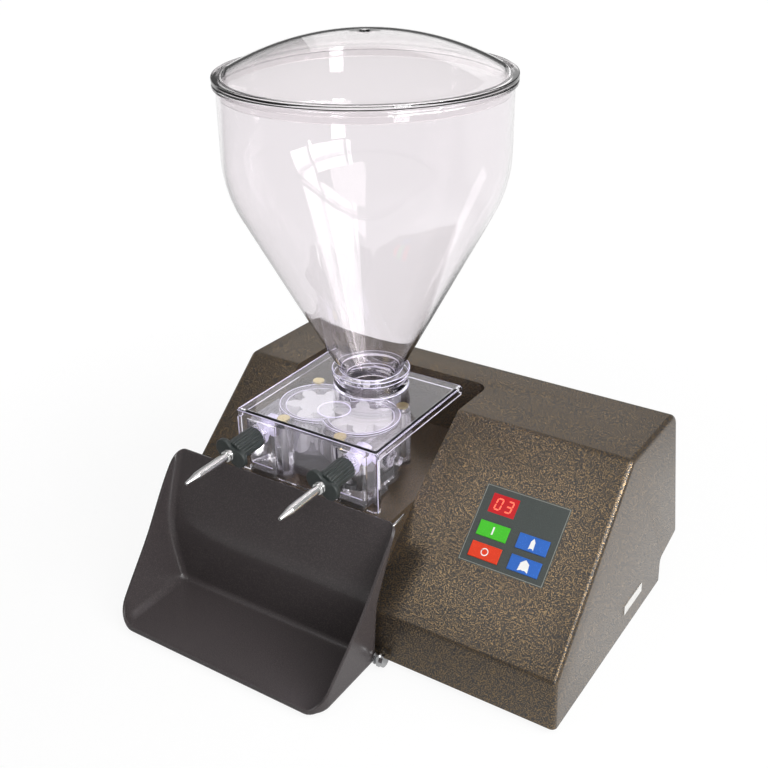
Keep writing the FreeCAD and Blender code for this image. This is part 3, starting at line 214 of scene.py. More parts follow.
def window_pane(name, from_angle, to_angle, low=15.0, high=38.0, away=1.3, glow=5.6):
    """An upright pane between two angles, counted from straight ahead of the machine round to
    its right, and two heights given as angles from mid hopper. Power is brightness times pi
    times area."""
    middle = math.radians((from_angle + to_angle) / 2)
    half = math.radians((to_angle - from_angle) / 2)
    foot, head = (hopper_middle + away * math.tan(math.radians(a)) for a in (low, high))
    width, height, level = 2 * away * math.tan(half), head - foot, (head + foot) / 2
    place = (hopper_x + away * math.sin(middle), hopper_y - away * math.cos(middle), level)
    power = glow * math.pi * width * height
    soft_box(name, place, (hopper_x, hopper_y, level), width, height, power)


window_pane("pane_front", 49, 53)
window_pane("pane_middle", 55.5, 88)
window_pane("pane_rear", 91, 108)
window_pane("gleam", 85.5, 88, low=11, high=27, away=1.25, glow=45)
window_pane("pane_low", 53, 65, low=-3, high=12, away=1.6, glow=12)
soft_box("ceiling", (0.7, -0.45, 1.5), (0.1, 0, 0.15), 0.8, 0.8, 5.5)
soft_box("front_box", (-0.75, -1.55, 2.35), (0.12, 0, 0.15), 0.9, 0.9, 5.8)
soft_box("left_box", (-2.3, 0.2, 1.2), (0, 0, 0.25), 0.5, 1.3, 3)
soft_box("back_box", (-0.84, 1.85, 1.3), (-0.07, 0.03, 0.22), 1.5, 1.0, 3.0)


# The housing: one moulding of bronze-brown plastic with a fine speckle and a leather-like
# grain from the mould, open below. It closes over a bent steel base plate, on rubber feet.
def shader_group(name, inputs, outputs):
    """A new shader node group with named inputs, each with its start value, and named outputs."""
    group = bpy.data.node_groups.new(name, "ShaderNodeTree")
    kinds = {float: "NodeSocketFloat", tuple: "NodeSocketColor"}
    for label, start in inputs:
        socket = group.interface.new_socket(label, in_out="INPUT", socket_type=kinds[type(start)])
        socket.default_value = start
    for label, kind in outputs:
        group.interface.new_socket(label, in_out="OUTPUT", socket_type=kinds[kind])
    given = group.nodes.new("NodeGroupInput").outputs
    made = group.nodes.new("NodeGroupOutput").inputs
    return group, given, made


def rgb(code, alpha=1.0):
    """A colour as seen on a screen, six hex digits, to the linear values that a shader takes."""
    tone = np.array([int(code[i:i + 2], 16) for i in (0, 2, 4)]) / 255.0
    linear = np.where(tone <= 0.04045, tone / 12.92, ((tone + 0.055) / 1.055) ** 2.4)
    return (*linear, alpha)


def moulding_group():
    """Moulded plastic. Fine noise picks light flecks, a coarser one clouds the colour, and a cell
    pattern gives the grain's height; flecks are a little glossier than the ground."""
    group, given, made = shader_group(
        "moulded plastic", [("Ground", (0.1, 0.1, 0.1, 1)), ("Fleck", (0.3, 0.3, 0.3, 1)),
                            ("Fleck Share", 0.3), ("Scale", 900.0), ("Gloss", 0.5), ("Cloud", 0.1)],
        [("Color", tuple), ("Roughness", float), ("Height", float), ("Mask", float)])
    at = put(group, "TexCoord").outputs["Object"]
    fine = put(group, "TexNoise", Vector=at, Scale=given["Scale"], Detail=1.5, Roughness=0.6)
    edge = calc(group, "SUBTRACT", 0.72, given["Fleck Share"])
    over = calc(group, "ADD", edge, 0.09)
    fleck = remap(group, fine.outputs["Fac"], edge, over, 0.0, 1.0, "SMOOTHSTEP")
    wide = put(group, "TexNoise", Vector=at, Scale=9.0, Detail=3.0, Roughness=0.55)
    cloud = remap(group, wide.outputs["Fac"], 0.3, 0.7, -1.0, 1.0)
    shade = calc(group, "MULTIPLY_ADD", cloud, given["Cloud"], 1.0)
    ground = put(group, "HueSaturation", Color=given["Ground"], Value=shade)
    colour = put(group, "Mix", {"data_type": "RGBA"}, i0=fleck, i6=ground.outputs[0],
                 i7=given["Fleck"])
    grain_scale = calc(group, "MULTIPLY", given["Scale"], 0.8)
    cells = put(group, "TexVoronoi", Vector=at, Scale=grain_scale, Randomness=1.0)
    group.links.new(colour.outputs[2], made["Color"])
    rough = calc(group, "MULTIPLY_ADD", fleck, -0.08, given["Gloss"])
    height = calc(group, "MULTIPLY_ADD", cells.outputs["Distance"], 0.7, fine.outputs["Fac"])
    group.links.new(rough, made["Roughness"])
    group.links.new(height, made["Height"])
    group.links.new(fleck, made["Mask"])
    return group


moulded = moulding_group()


def moulded_plastic(name, ground, fleck, share=0.3, scale=900.0, gloss=0.5, cloud=0.1, relief=0.12,
                    coat=0.0, sheen=0.5, flake=0.0):
    """A Principled plastic whose colour, gloss and grain come from the moulding group; sheen is the
    shader's specular level, and flake is how metallic the flecks are."""
    material, tree = fresh_material(name)
    skin = tree.nodes.new("ShaderNodeGroup")
    skin.node_tree = moulded
    for label, value in (("Ground", rgb(ground)), ("Fleck", rgb(fleck)), ("Fleck Share", share),
                         ("Scale", scale), ("Gloss", gloss), ("Cloud", cloud)):
        skin.inputs[label].default_value = value
    bump = put(tree, "Bump", Strength=relief, Distance=0.0006, Height=skin.outputs["Height"])
    face = put(tree, "BsdfPrincipled", Base_Color=skin.outputs["Color"],
               Roughness=skin.outputs["Roughness"], Normal=bump.outputs[0],
               Specular_IOR_Level=sheen, Coat_Weight=coat, Coat_Roughness=0.25)
    if flake:
        tree.links.new(calc(tree, "MULTIPLY", skin.outputs["Mask"], flake), face.inputs["Metallic"])
    put(tree, "OutputMaterial", Surface=face.outputs[0])
    return material


def dress(material, *names):
    """Gives CAD nodes this material in every slot."""
    for name in names:
        slots = body[name].material_slots
        if not slots:
            body[name].data.materials.append(material)
        for one in slots:
            one.material = material


bronze = moulded_plastic("bronze moulding", "292727", "8c7556", share=0.22, scale=880, gloss=0.35,
                         cloud=0.05, relief=0.14, sheen=0.5, flake=0.8, coat=0.08)
rubber = moulded_plastic("foot rubber", "2b2a2a", "3a3939", share=0.15, scale=1500, gloss=0.8,
                         relief=0.3)


def eased_copy(name, node, material, rides, width, steps, keep_flat=1.5, sharp=30.0):
    """The node's surface with its loose triangles joined into whole faces where they turn by less
    than one angle, and every edge that turns by more than another eased by a small round."""
    copy = bmesh.new()
    copy.from_mesh(body[node].data)
    bmesh.ops.remove_doubles(copy, verts=copy.verts, dist=1e-5)
    bmesh.ops.dissolve_limit(copy, angle_limit=math.radians(keep_flat), verts=copy.verts,
                             edges=copy.edges)
    mesh = bpy.data.meshes.new(name)
    copy.to_mesh(mesh)
    copy.free()
    mesh.shade_smooth()
    mesh.materials.append(material)
    piece = bpy.data.objects.new(name, mesh)
    bpy.context.scene.collection.objects.link(piece)
    round_off = piece.modifiers.new("eased edges", "BEVEL")
    round_off.limit_method, round_off.angle_limit = "ANGLE", math.radians(sharp)
    round_off.width, round_off.segments, round_off.harden_normals = width, steps, True
    round_off.use_clamp_overlap = True
    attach(piece, rides)
    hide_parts(node)
    return piece


eased_copy("housing_shell", "housing_cover", bronze, "base", width=0.0042, steps=4)
dress(rubber, *[n for n in body if n.startswith("foot_")])


def brushed_group():
    """Brushed metal: noise drawn out along one axis gives fine lines in gloss and height, and a
    wide noise the faint unevenness of handling."""
    group, given, made = shader_group(
        "brushed metal", [("Lines", 600.0), ("Gloss", 0.3), ("Spread", 0.1)],
        [("Roughness", float), ("Height", float)])
    at = put(group, "TexCoord").outputs["Object"]
    drawn = put(group, "Mapping", Vector=at, Scale=(0.05, 1.0, 1.0))
    lines = put(group, "TexNoise", Vector=drawn.outputs[0], Scale=given["Lines"], Detail=4.0,
                Roughness=0.7)
    wide = put(group, "TexNoise", Vector=at, Scale=25.0, Detail=2.0)
    both = calc(group, "ADD", lines.outputs["Fac"], wide.outputs["Fac"])
    even = calc(group, "SUBTRACT", both, 1.0)
    rough = calc(group, "MULTIPLY_ADD", even, given["Spread"], given["Gloss"])
    group.links.new(rough, made["Roughness"])
    group.links.new(lines.outputs["Fac"], made["Height"])
    return group


brushed = brushed_group()


def metal(name, colour, gloss=0.3, spread=0.12, lines=600.0, relief=0.05):
    """A Principled metal with brushed gloss and height."""
    material, tree = fresh_material(name)
    skin = tree.nodes.new("ShaderNodeGroup")
    skin.node_tree = brushed
    for label, value in (("Lines", lines), ("Gloss", gloss), ("Spread", spread)):
        skin.inputs[label].default_value = value
    bump = put(tree, "Bump", Strength=relief, Distance=0.0002, Height=skin.outputs["Height"])
    face = put(tree, "BsdfPrincipled", Base_Color=rgb(colour), Metallic=1.0,
               Roughness=skin.outputs["Roughness"], Normal=bump.outputs[0])
    put(tree, "OutputMaterial", Surface=face.outputs[0])
    return material


zinc = metal("zinc plate", "a9abad", gloss=0.42, spread=0.2, lines=300)
dress(zinc, "base_plate")
dress(moulded_plastic("pale plate", "e4e3e0", "f0efec", share=0.1, scale=800, gloss=0.4),
      "blank_plate")


# Inside the housing: motor and gearbox on a bent bracket under the deck, a boxed power
# supply, the circuit board behind the keypad, and the mains inlet snapped into the back.
dress(metal("motor steel", "8d8f92", gloss=0.35, lines=900), "motor", "power_supply")
dress(metal("cast alloy", "9a9a98", gloss=0.5, spread=0.3, lines=200), "gearbox")
dress(zinc, "motor_bracket")
dress(moulded_plastic("board green", "1f5a34", "2c7a48", share=0.2, scale=500, gloss=0.35),
      "circuit_board")
dress(moulded_plastic("inlet nylon", "1d1d1e", "2b2b2c", share=0.2, scale=1500, gloss=0.45),
      "mains_inlet")


# The control panel: a printed membrane plate set flush in the slope of the right pod, with a
# red display window and four coloured keys. White symbols are screen printed on the keys.
slope_foot_y, slope_foot_z, slope_head_y, slope_head_z = 15.0, 66.0, 189.0, 224.0
slope = math.atan2(slope_head_z - slope_foot_z, slope_head_y - slope_foot_y)
panel_x, panel_low, panel_wide, panel_tall = 108.5, 82.0, 96.0, 86.0
rightward = np.array([1.0, 0.0, 0.0])
up_slope = np.array([0.0, math.cos(slope), math.sin(slope)])
off_slope = np.array([0.0, -math.sin(slope), math.cos(slope)])
panel_corner = np.array([panel_x, slope_foot_y, slope_foot_z]) + up_slope * panel_low


def new_piece(name, points, faces, material, rides, sharp=35.0):
    """A mesh object at the origin from millimetre points, its doubles merged, its faces turned
    outwards, smooth up to an angle, riding on a body."""
    mesh = bpy.data.meshes.new(name)
    mesh.from_pydata(here(points).tolist(), [], [tuple(int(i) for i in f) for f in faces])
    work = bmesh.new()
    work.from_mesh(mesh)
    bmesh.ops.remove_doubles(work, verts=work.verts, dist=2e-6)
    bmesh.ops.dissolve_degenerate(work, edges=work.edges, dist=1e-7)
    bmesh.ops.recalc_face_normals(work, faces=work.faces)
    work.to_mesh(mesh)
    work.free()
    mesh.shade_smooth()
    mesh.set_sharp_from_angle(angle=math.radians(sharp))
    mesh.materials.append(material)
    piece = bpy.data.objects.new(name, mesh)
    bpy.context.scene.collection.objects.link(piece)
    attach(piece, rides)
    return piece


def grid_faces(rows, columns, close_rows=False, close_columns=True):
    """Quads of a grid of points; either direction may close on itself."""
    r = np.arange(rows if close_rows else rows - 1)
    c = np.arange(columns if close_columns else columns - 1)
    r, c = np.meshgrid(r, c, indexing="ij")
    r1, c1 = (r + 1) % rows, (c + 1) % columns
    quads = [r * columns + c, r * columns + c1, r1 * columns + c1, r1 * columns + c]
    return np.stack(quads, -1).reshape(-1, 4)


def rounded_plate(name, outline, base, u, v, n, low, high, edge, material, rides, steps=4,
                  sharp=35.0):
    """A plate whose outline is star-shaped about its middle: rings from the middle of the lower
    face out to the outline, up through a quarter round at each rim, and back in on top."""
    outline = np.asarray(outline, float)
    middle = outline.mean(0)
    away = outline - middle
    away = away / np.linalg.norm(away, axis=1, keepdims=True)
    turn = np.linspace(0, math.pi / 2, steps + 1)
    rising, closing = edge * (1 - np.cos(turn)), edge * (1 - np.sin(turn))
    inset = np.concatenate([[None], closing, rising, [None]])
    level = np.concatenate([[low], low + rising, high - closing, [high]])
    rings = []
    for pull, height in zip(inset, level):
        flat = np.repeat(middle[None], len(outline), 0) if pull is None else outline - away * pull
        rings.append(base + flat[:, :1] * u + flat[:, 1:] * v + height * n)
    points = np.concatenate(rings)
    return new_piece(name, points, grid_faces(len(rings), len(outline)), material, rides, sharp)


membrane = moulded_plastic("membrane print", "3d4240", "4a504d", share=0.2, scale=1800, gloss=0.38,
                           relief=0.05, cloud=0.02, sheen=0.3)
pale_ink = moulded_plastic("pale ink", "8a8b84", "9a9b94", share=0.1, scale=1500, gloss=0.4,
                           relief=0.02)
white_ink = moulded_plastic("white ink", "f2f2ee", "ffffff", share=0.1, scale=1500, gloss=0.4,
                            relief=0.02)
dress(membrane, "control_panel")


def printed(name, shapes, base, material, rides, rise):
    """Flat polygons of one print, each a thin solid a few hundredths of a millimetre thick whose
    middle stands off the slope by rise."""
    half_thick = 0.03
    points, faces, start = [], [], 0
    for shape in shapes:
        flat = np.asarray(shape, float)
        k = len(flat)
        for level in (rise - half_thick, rise + half_thick):
            on_slope = base + flat[:, :1] * rightward + flat[:, 1:] * up_slope
            points.append(on_slope + level * off_slope)
        faces.append(list(range(start + k, start + 2 * k)))
        faces.append(list(range(start, start + k))[::-1])
        faces += [(start + i, start + (i + 1) % k, start + k + (i + 1) % k, start + k + i)
                  for i in range(k)]
        start += 2 * k
    return new_piece(name, np.concatenate(points), faces, material, rides, sharp=30)


def frame_strips(x, y, wide, tall, line):
    """Four thin rectangles round a field: along its foot, its head, its left and its right."""
    right, head = x + wide, y + tall
    strips = ((x, y, right, y + line), (x, head - line, right, head),
              (x, y + line, x + line, head - line), (right - line, y + line, right, head - line))
    return [[(x0, y0), (x1, y0), (x1, y1), (x0, y1)] for x0, y0, x1, y1 in strips]


border_inset, border_line = 0.8, 0.7
printed("panel_border",
        frame_strips(border_inset, border_inset, panel_wide - 2 * border_inset,
                     panel_tall - 2 * border_inset, border_line),
        panel_corner, pale_ink, "base", rise=0.03)


def lit_window(name, colour, strength):
    """Red filter over the lit digits: a glossy plastic with a little light of its own."""
    material, tree = fresh_material(name)
    at = put(tree, "TexCoord").outputs["Object"]
    haze = put(tree, "TexNoise", Vector=at, Scale=60.0, Detail=2.0)
    rough = remap(tree, haze.outputs["Fac"], 0.3, 0.7, 0.1, 0.22)
    face = put(tree, "BsdfPrincipled", Base_Color=rgb(colour), Roughness=rough,
               Emission_Color=rgb(colour), Emission_Strength=strength, Specular_IOR_Level=0.15)
    put(tree, "OutputMaterial", Surface=face.outputs[0])
    return material


dress(lit_window("display filter", "a80812", 0.35), "display_window")


def digit_segments(x, y, wide, tall, bar, lit):
    """Seven-segment digit: thin hexagons; the lit ones are given by letters a to g. Each letter
    has its start and whether it lies flat."""
    half, lean = tall / 2, 0.12
    run = {"a": (0, tall, True), "d": (0, 0, True), "g": (0, half, True), "f": (0, half, False),
           "b": (wide, half, False), "e": (0, 0, False), "c": (wide, 0, False)}
    w = bar / 2
    shapes = []
    for letter in lit:
        start_x, start_y, flat = run[letter]
        length = wide if flat else half
        tip, shoulder = w * 0.4, w * 1.3
        hexagon = np.array([(tip, 0), (shoulder, w), (length - shoulder, w), (length - tip, 0),
                            (length - shoulder, -w), (shoulder, -w)])
        if not flat:
            hexagon = hexagon[:, ::-1]
        hexagon = hexagon + (start_x, start_y)
        hexagon[:, 0] += hexagon[:, 1] * lean
        shapes.append(hexagon + (x, y))
    return shapes


digit_red = rgb("ff6a50")
lit_digit, digit_tree = fresh_material("lit digit")
digit_face = put(digit_tree, "BsdfPrincipled", Base_Color=digit_red, Roughness=0.4,
                 Emission_Color=digit_red, Emission_Strength=0.7)
put(digit_tree, "OutputMaterial", Surface=digit_face.outputs[0])
digit_foot, digit_wide, digit_tall, digit_bar = 61.5, 6.2, 12.0, 1.5
segments = [shape for digit_x, lit in ((16.5, "abcdef"), (28.5, "abgcd"))
            for shape in digit_segments(digit_x, digit_foot, digit_wide, digit_tall, digit_bar,
                                        lit)]
printed("display_digits", segments, panel_corner, lit_digit, "base", rise=0.04)


def key_colour(name, ground, fleck):
    """The even, satin plastic of one key."""
    return moulded_plastic(name, ground, fleck, share=0.12, scale=900, gloss=0.35, relief=0.05,
                           sheen=0.2)


blue_key = key_colour("blue key", "2f66be", "4078d0")
key_plastic = {"start_button": key_colour("green key", "45bd2a", "58d03c"),
               "stop_button": key_colour("orange key", "e03c1c", "ee5430"),
               "small_fill_button": blue_key, "large_fill_button": blue_key}
key_wide, key_tall = 34.0, 16.5
key_places = {"start_button": (8.5, 30.5), "stop_button": (8.5, 7.0),
              "small_fill_button": (53.5, 30.5), "large_fill_button": (53.5, 7.0)}
stroke = np.array([(-0.9, -4.2), (0.9, -4.2), (0.9, 4.2), (-0.9, 4.2)])
portion = np.array([(-0.5, -0.5), (-0.18, -0.36), (0.0, -0.4), (0.18, -0.36), (0.5, -0.5),
                    (0.42, 0.2), (0.0, 0.5), (-0.42, 0.2)])
ring_out, ring_in = 4.2, 3.1
ring_angles = np.linspace(0, 2 * math.pi, 33)
ring = [np.array([(r * math.cos(w), r * math.sin(w))
                  for r, w in ((ring_out, a), (ring_out, b), (ring_in, b), (ring_in, a))])
        for a, b in zip(ring_angles[:-1], ring_angles[1:])]
symbols = {"start_button": [stroke], "stop_button": ring,
           "small_fill_button": [portion * (5.6, 12.4)],
           "large_fill_button": [portion * (11.4, 12.8)]}
for name, (key_x, key_y) in key_places.items():
    dress(key_plastic[name], name)
    centre = np.array([key_x + key_wide / 2, key_y + key_tall / 2])
    shapes = [shape + centre for shape in symbols[name]]
    printed(name.replace("button", "symbol"), shapes, panel_corner, white_ink,
            body_of(body[name])[0], rise=0.84)


# The gear pump: a clear cast body bolted to the deck, its chamber closed by a clear lid under
# four flat-headed brass screws, with two white acetal gears that mesh at its middle.
def clear_plastic(name, tint, gloss=0.03, index=1.49, haze=0.05, shade=0.97, clear=1.0):
    """Glass-clear plastic: Principled with full transmission and a faint haze in its gloss, and a
    plain transparent film for rays from lamps, so that they reach what is behind it."""
    material, tree = fresh_material(name)
    at = put(tree, "TexCoord").outputs["Object"]
    smear = put(tree, "TexNoise", Vector=at, Scale=18.0, Detail=4.0, Roughness=0.6)
    rough = remap(tree, smear.outputs["Fac"], 0.4, 0.75, gloss, gloss + haze)
    face = put(tree, "BsdfPrincipled", Base_Color=rgb(tint), Roughness=rough, IOR=index,
               Transmission_Weight=clear)
    film = put(tree, "BsdfTransparent", Color=(shade, shade, shade, 1))
    lamp_ray = put(tree, "LightPath").outputs["Is Shadow Ray"]
    mix = put(tree, "MixShader", i0=lamp_ray, i1=face.outputs[0], i2=film.outputs[0])
    put(tree, "OutputMaterial", Surface=mix.outputs[0])
    return material


pump_clear = clear_plastic("pump acrylic", "faf8fb", gloss=0.03, haze=0.06, shade=0.99)
dress(pump_clear, "pump_lid", "side_plug")
pump_cast = clear_plastic("pump casting", "f8f5fc", gloss=0.04, haze=0.08, clear=0.92)
eased_copy("pump_case", "pump_body", pump_cast, "base", width=0.0008, steps=2)
dark_steel = metal("screw steel", "9a9897", gloss=0.35, spread=0.15, lines=500)
acetal = moulded_plastic("white acetal", "c3c3c0", "cbcac8", share=0.1, scale=600, gloss=0.42,
                         relief=0.04, cloud=0.02)
dress(acetal, "drive_gear", "driven_gear")
dress(moulded_plastic("seal rubber", "232323", "303030", share=0.1, scale=1500, gloss=0.7),
      "shaft_seal")
steel = metal("turned steel", "c3c3c1", gloss=0.22, spread=0.1, lines=900)
dress(steel, "drive_shaft", "idler_pin")
brass = metal("pale brass", "cdbd86", gloss=0.3, spread=0.15, lines=700)
dress(brass, *[n for n in body if n.startswith("lid_screw_")])
# Painted highlight: a pale, half-clear violet-white plastic for thin bars and rings laid along
# edges of the clear parts, where these show only bright lines of reflected light.
painted_glint_plastic = clear_plastic("painted glint plastic", "f1ecff", gloss=0.3, haze=0.1, clear=0.45)


def rounded_bar(name, start, end, radius, material, rides, around=10):
    """A straight bar between two points: circles of shrinking radius close both ends."""
    start, end = np.asarray(start, float), np.asarray(end, float)
    along = (end - start) / np.linalg.norm(end - start)
    side = np.cross(along, [0.0, 0.0, 1.0] if abs(along[2]) < 0.9 else [1.0, 0.0, 0.0])
    side /= np.linalg.norm(side)
    other = np.cross(along, side)
    turn = np.linspace(0, 2 * math.pi, around + 1)[:-1]
    hoop = np.cos(turn)[:, None] * side + np.sin(turn)[:, None] * other
    inward = along * radius * 0.5
    places = [(start, 0.0), (start, 0.7), (start + inward, 1.0), (end - inward, 1.0), (end, 0.7),
              (end, 0.0)]
    points = np.concatenate([place + hoop * radius * share for place, share in places])
    return new_piece(name, points, grid_faces(len(places), around), material, rides, sharp=50)


def round_corners(points, steps=5):
    """A closed line of (a, b, radius) corners, each turned into an arc tangent to its two runs."""
    p = np.array([q[:2] for q in points], float)
    radius = np.array([q[2] if len(q) > 2 else 0.0 for q in points], float)
    out = []
    for k in range(len(p)):
        if radius[k] <= 0:
            out.append(p[k][None])
            continue
        back, on = p[k - 1] - p[k], p[(k + 1) % len(p)] - p[k]
        back, on = back / np.linalg.norm(back), on / np.linalg.norm(on)
        half = math.acos(np.clip(back @ on, -1, 1)) / 2
        middle = p[k] + (back + on) / np.linalg.norm(back + on) * radius[k] / math.sin(half)
        start = p[k] + back * radius[k] / math.tan(half)
        end = p[k] + on * radius[k] / math.tan(half)
        a0 = math.atan2(*(start - middle)[::-1])
        sweep = (math.atan2(*(end - middle)[::-1]) - a0 + math.pi) % (2 * math.pi) - math.pi
        angle = a0 + sweep * np.linspace(0, 1, steps + 1)
        out.append(middle + radius[k] * np.stack([np.cos(angle), np.sin(angle)], 1))
    return np.concatenate(out)


def turned(name, line, centre, axis, material, rides, around=96, steps=5, sharp=35.0):
    """A closed profile of (radius, height) carried round an axis: point = centre + height along the
    axis + radius in the direction of the angle."""
    profile = round_corners(line, steps)
    angle = np.linspace(0, 2 * math.pi, around + 1)[:-1]
    axis = np.asarray(axis, float)
    side = np.array([1.0, 0, 0])
    other = np.cross(axis, side)
    spoke = np.cos(angle)[:, None] * side + np.sin(angle)[:, None] * other
    points = (np.asarray(centre, float) + profile[:, None, 1:2] * axis
              + profile[:, None, 0:1] * spoke[None]).reshape(-1, 3)
    return new_piece(name, points, grid_faces(len(profile), around, close_rows=True), material,
                     rides, sharp)


upright, forward = (0.0, 0.0, 1.0), (0.0, -1.0, 0.0)
pump_x, gear_y, gear_top, lid_top = -74.0, 129.0, 214.0, 219.2
gear_spacing, chamber_radius = 58, 36.4
outlet_z = 203.0
outlets = {"left": pump_x - 60.0, "right": pump_x + 60.0}
# Painted highlight: a raised ring on the lid in pale half-clear plastic; the ring is geometry, its
# whiteness stands in for the bright line it shows.
ring_top = lid_top + 0.7
turned("lid_ring", [(17.4, lid_top, 0.2), (17.4, ring_top, 0.3), (19.0, ring_top, 0.3),
                    (19.0, lid_top, 0.2)],
       (pump_x - 3.0, 123.0, 0.0), upright, painted_glint_plastic, "base", around=64, steps=3)
for name, gear, gear_x in (("bore_disc_left", "driven_gear", pump_x - gear_spacing / 2),
                           ("bore_disc_right", "drive_gear", pump_x + gear_spacing / 2)):
    turned(name, [(0.0, gear_top), (7.0, gear_top), (7.0, gear_top + 0.1), (0.0, gear_top + 0.1)],
           (gear_x, gear_y, 0.0), upright, acetal, body_of(body[gear])[0], around=40)
pillars = [(pump_x - 57.5, 169.0), (pump_x - 37.5, 76.5), (pump_x + 37.5, 76.5),
           (pump_x + 57.5, 169.0)]
shank_foot, shank_radius = 158.0, 2.3
for k, (x, y) in enumerate(pillars):
    rounded_bar("screw_shank_%d" % (k + 1), (x, y, shank_foot), (x, y, lid_top), shank_radius,
                dark_steel, "base", around=14)
# The ribbed sleeves stand for the outlet threads seen through the clear body, and the bars for the
# body's front edges; both are pale as painted highlight, the glints that threads and edges give.
for side, x in outlets.items():
    ridges = [(8.4 if k % 2 else 6.9, 66.0 + 1.25 * k, 0.25) for k in range(20)]
    turned("outlet_sleeve_" + side, [(3.0, 66.0)] + ridges + [(3.0, 91.0)], (x, 0.0, outlet_z),
           (0.0, 1.0, 0.0), painted_glint_plastic, "base", around=40, steps=2)
    rounded_bar("outlet_edge_" + side, (x - 14.0, 62.3, 162.4), (x + 14.0, 62.3, 162.4), 0.7,
                painted_glint_plastic, "base")


def bent_bar(name, line, level, radius, material, rides, around=8):
    """A closed thin bar that follows a closed flat line: each point carries a circle set in the
    plane of the line's outward direction and the vertical."""
    line = np.asarray(line, float)
    along = np.roll(line, -1, 0) - np.roll(line, 1, 0)
    along /= np.linalg.norm(along, axis=1, keepdims=True)
    out = np.stack([along[:, 1], -along[:, 0], np.zeros(len(line))], 1)
    turn = np.linspace(0, 2 * math.pi, around + 1)[:-1]
    centre = np.column_stack([line, np.full(len(line), level)])
    points = (centre[:, None] + radius * np.cos(turn)[None, :, None] * out[:, None]
              + radius * np.sin(turn)[None, :, None] * np.array([0.0, 0.0, 1.0]))
    return new_piece(name, points.reshape(-1, 3), grid_faces(len(line), around, close_rows=True),
                     material, rides, sharp=60)


def two_circles(spacing, radius, points=120):
    """The outline round two equal circles that overlap, as a reach for each angle about their
    middle."""
    angle = np.linspace(0, 2 * math.pi, points + 1)[:-1]
    half = spacing / 2
    reach = half * np.abs(np.cos(angle)) + np.sqrt(radius ** 2 - (half * np.sin(angle)) ** 2)
    return np.stack([pump_x + reach * np.cos(angle), gear_y + reach * np.sin(angle)], 1)


def circle(radius, y, points=96):
    """A circle about the hopper's axis."""
    angle = np.linspace(0, 2 * math.pi, points + 1)[:-1]
    return np.stack([pump_x + radius * np.cos(angle), y + radius * np.sin(angle)], 1)


# Painted highlight: thin pale rings on the outlines of the gear chamber and the lid, where the
# clear plastic shows bright lines.
for name, radius, level in (("chamber_edge", chamber_radius, gear_top + 0.2),
                            ("lid_edge", chamber_radius + 6.6, lid_top)):
    bent_bar(name, two_circles(gear_spacing, radius), level, 0.45, painted_glint_plastic, "base")

# The nozzles: stainless tubes turned to a point, ringed at the root, held on the pump's threads
# by black nylon nuts with a fluted hub and a pair of wings.
stainless = metal("stainless tube", "f8f8f7", gloss=0.24, spread=0.12, lines=1400)
nylon = moulded_plastic("black nylon", "2b302f", "3a403f", share=0.2, scale=1300, gloss=0.42,
                        relief=0.12)


def wing_outline(length, width, waist, points=72):
    """Two round lobes joined by a waist: the reach at each angle is the larger of the lobe's and
    the bar's, eased together."""
    angle = np.linspace(0, 2 * math.pi, points + 1)[:-1]
    lobe, offset = width / 2, length / 2 - width / 2
    c, s = np.abs(np.cos(angle)), np.sin(angle)
    inside = np.maximum(lobe ** 2 - (offset * s) ** 2, 0.0)
    lobes = offset * c + np.sqrt(inside)
    lobes = np.where(inside > 0, lobes, 0.0)
    bar = np.minimum(waist / 2 / np.maximum(np.abs(s), 1e-6), offset / np.maximum(c, 1e-6))
    reach = (lobes ** 8 + bar ** 8) ** 0.125
    return np.stack([reach * np.cos(angle), reach * np.sin(angle)], 1)


def fluted_hub(name, centre, radius, bore, front, rear, flutes, depth, material, rides):
    """A hub whose radius dips with the cosine of the angle times the flutes, carried back along y;
    the dips fade out at both chamfered ends."""
    angle = np.linspace(0, 2 * math.pi, flutes * 10 + 1)[:-1]
    dip = depth * (0.5 - 0.5 * np.cos(angle * flutes)) ** 1.6
    rows = [(bore, front, 0.0), (radius - 1.6, front, 0.0), (radius - 0.5, front + 0.7, 0.6),
            (radius, front + 1.9, 1.0), (radius, rear - 1.6, 1.0), (radius - 0.5, rear - 0.6, 0.7),
            (radius - 1.4, rear, 0.2), (bore, rear, 0.0)]
    points = np.concatenate([np.stack([centre[0] + (r - dip * share) * np.cos(angle),
                                       np.full_like(angle, y),
                                       centre[1] + (r - dip * share) * np.sin(angle)], 1)
                             for r, y, share in rows])
    return new_piece(name, points, grid_faces(len(rows), len(angle), close_rows=True), material,
                     rides, sharp=50)


wing_lean = math.radians(-24.0)
wing_along = np.array([math.cos(wing_lean), 0.0, math.sin(wing_lean)])
wing_across = np.array([-math.sin(wing_lean), 0.0, math.cos(wing_lean)])
for side, cx in outlets.items():
    rides = "nozzle_" + side
    hub = fluted_hub("nut_hub_" + side, (cx, outlet_z), radius=12.6, bore=9.3, front=14.4,
                     rear=53.9, flutes=20, depth=1.15, material=nylon, rides=rides)
    rounded_plate("nut_wings_" + side, wing_outline(length=41.0, width=20.0, waist=16.5),
                  np.array([cx, 0.0, outlet_z]), wing_along, wing_across, np.array(forward),
                  low=-16.8, high=-10.2, edge=1.8, material=nylon, rides=rides, steps=5, sharp=40)
    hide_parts("nozzle_nut_" + side)
    tube = turned("nozzle_tube_" + side,
                  [(1.1, 58.5), (1.7, 58.5, 0.2), (4.8, 41.0, 8.0), (4.8, -3.2), (5.9, -3.2, 0.3),
                   (6.5, -3.8, 0.3), (6.5, -5.8, 0.4), (5.5, -6.2, 0.2), (5.5, -7.0, 0.2),
                   (6.5, -7.4, 0.4), (6.5, -9.6, 0.3), (5.9, -10.2, 0.3), (4.8, -10.2),
                   (4.8, -16.8), (8.2, -16.8), (8.2, -20.0), (2.8, -20.0), (2.8, 41.0)],
                  (cx, 0.0, outlet_z), forward, stainless, rides, around=48, steps=4)
    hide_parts("nozzle_" + side)

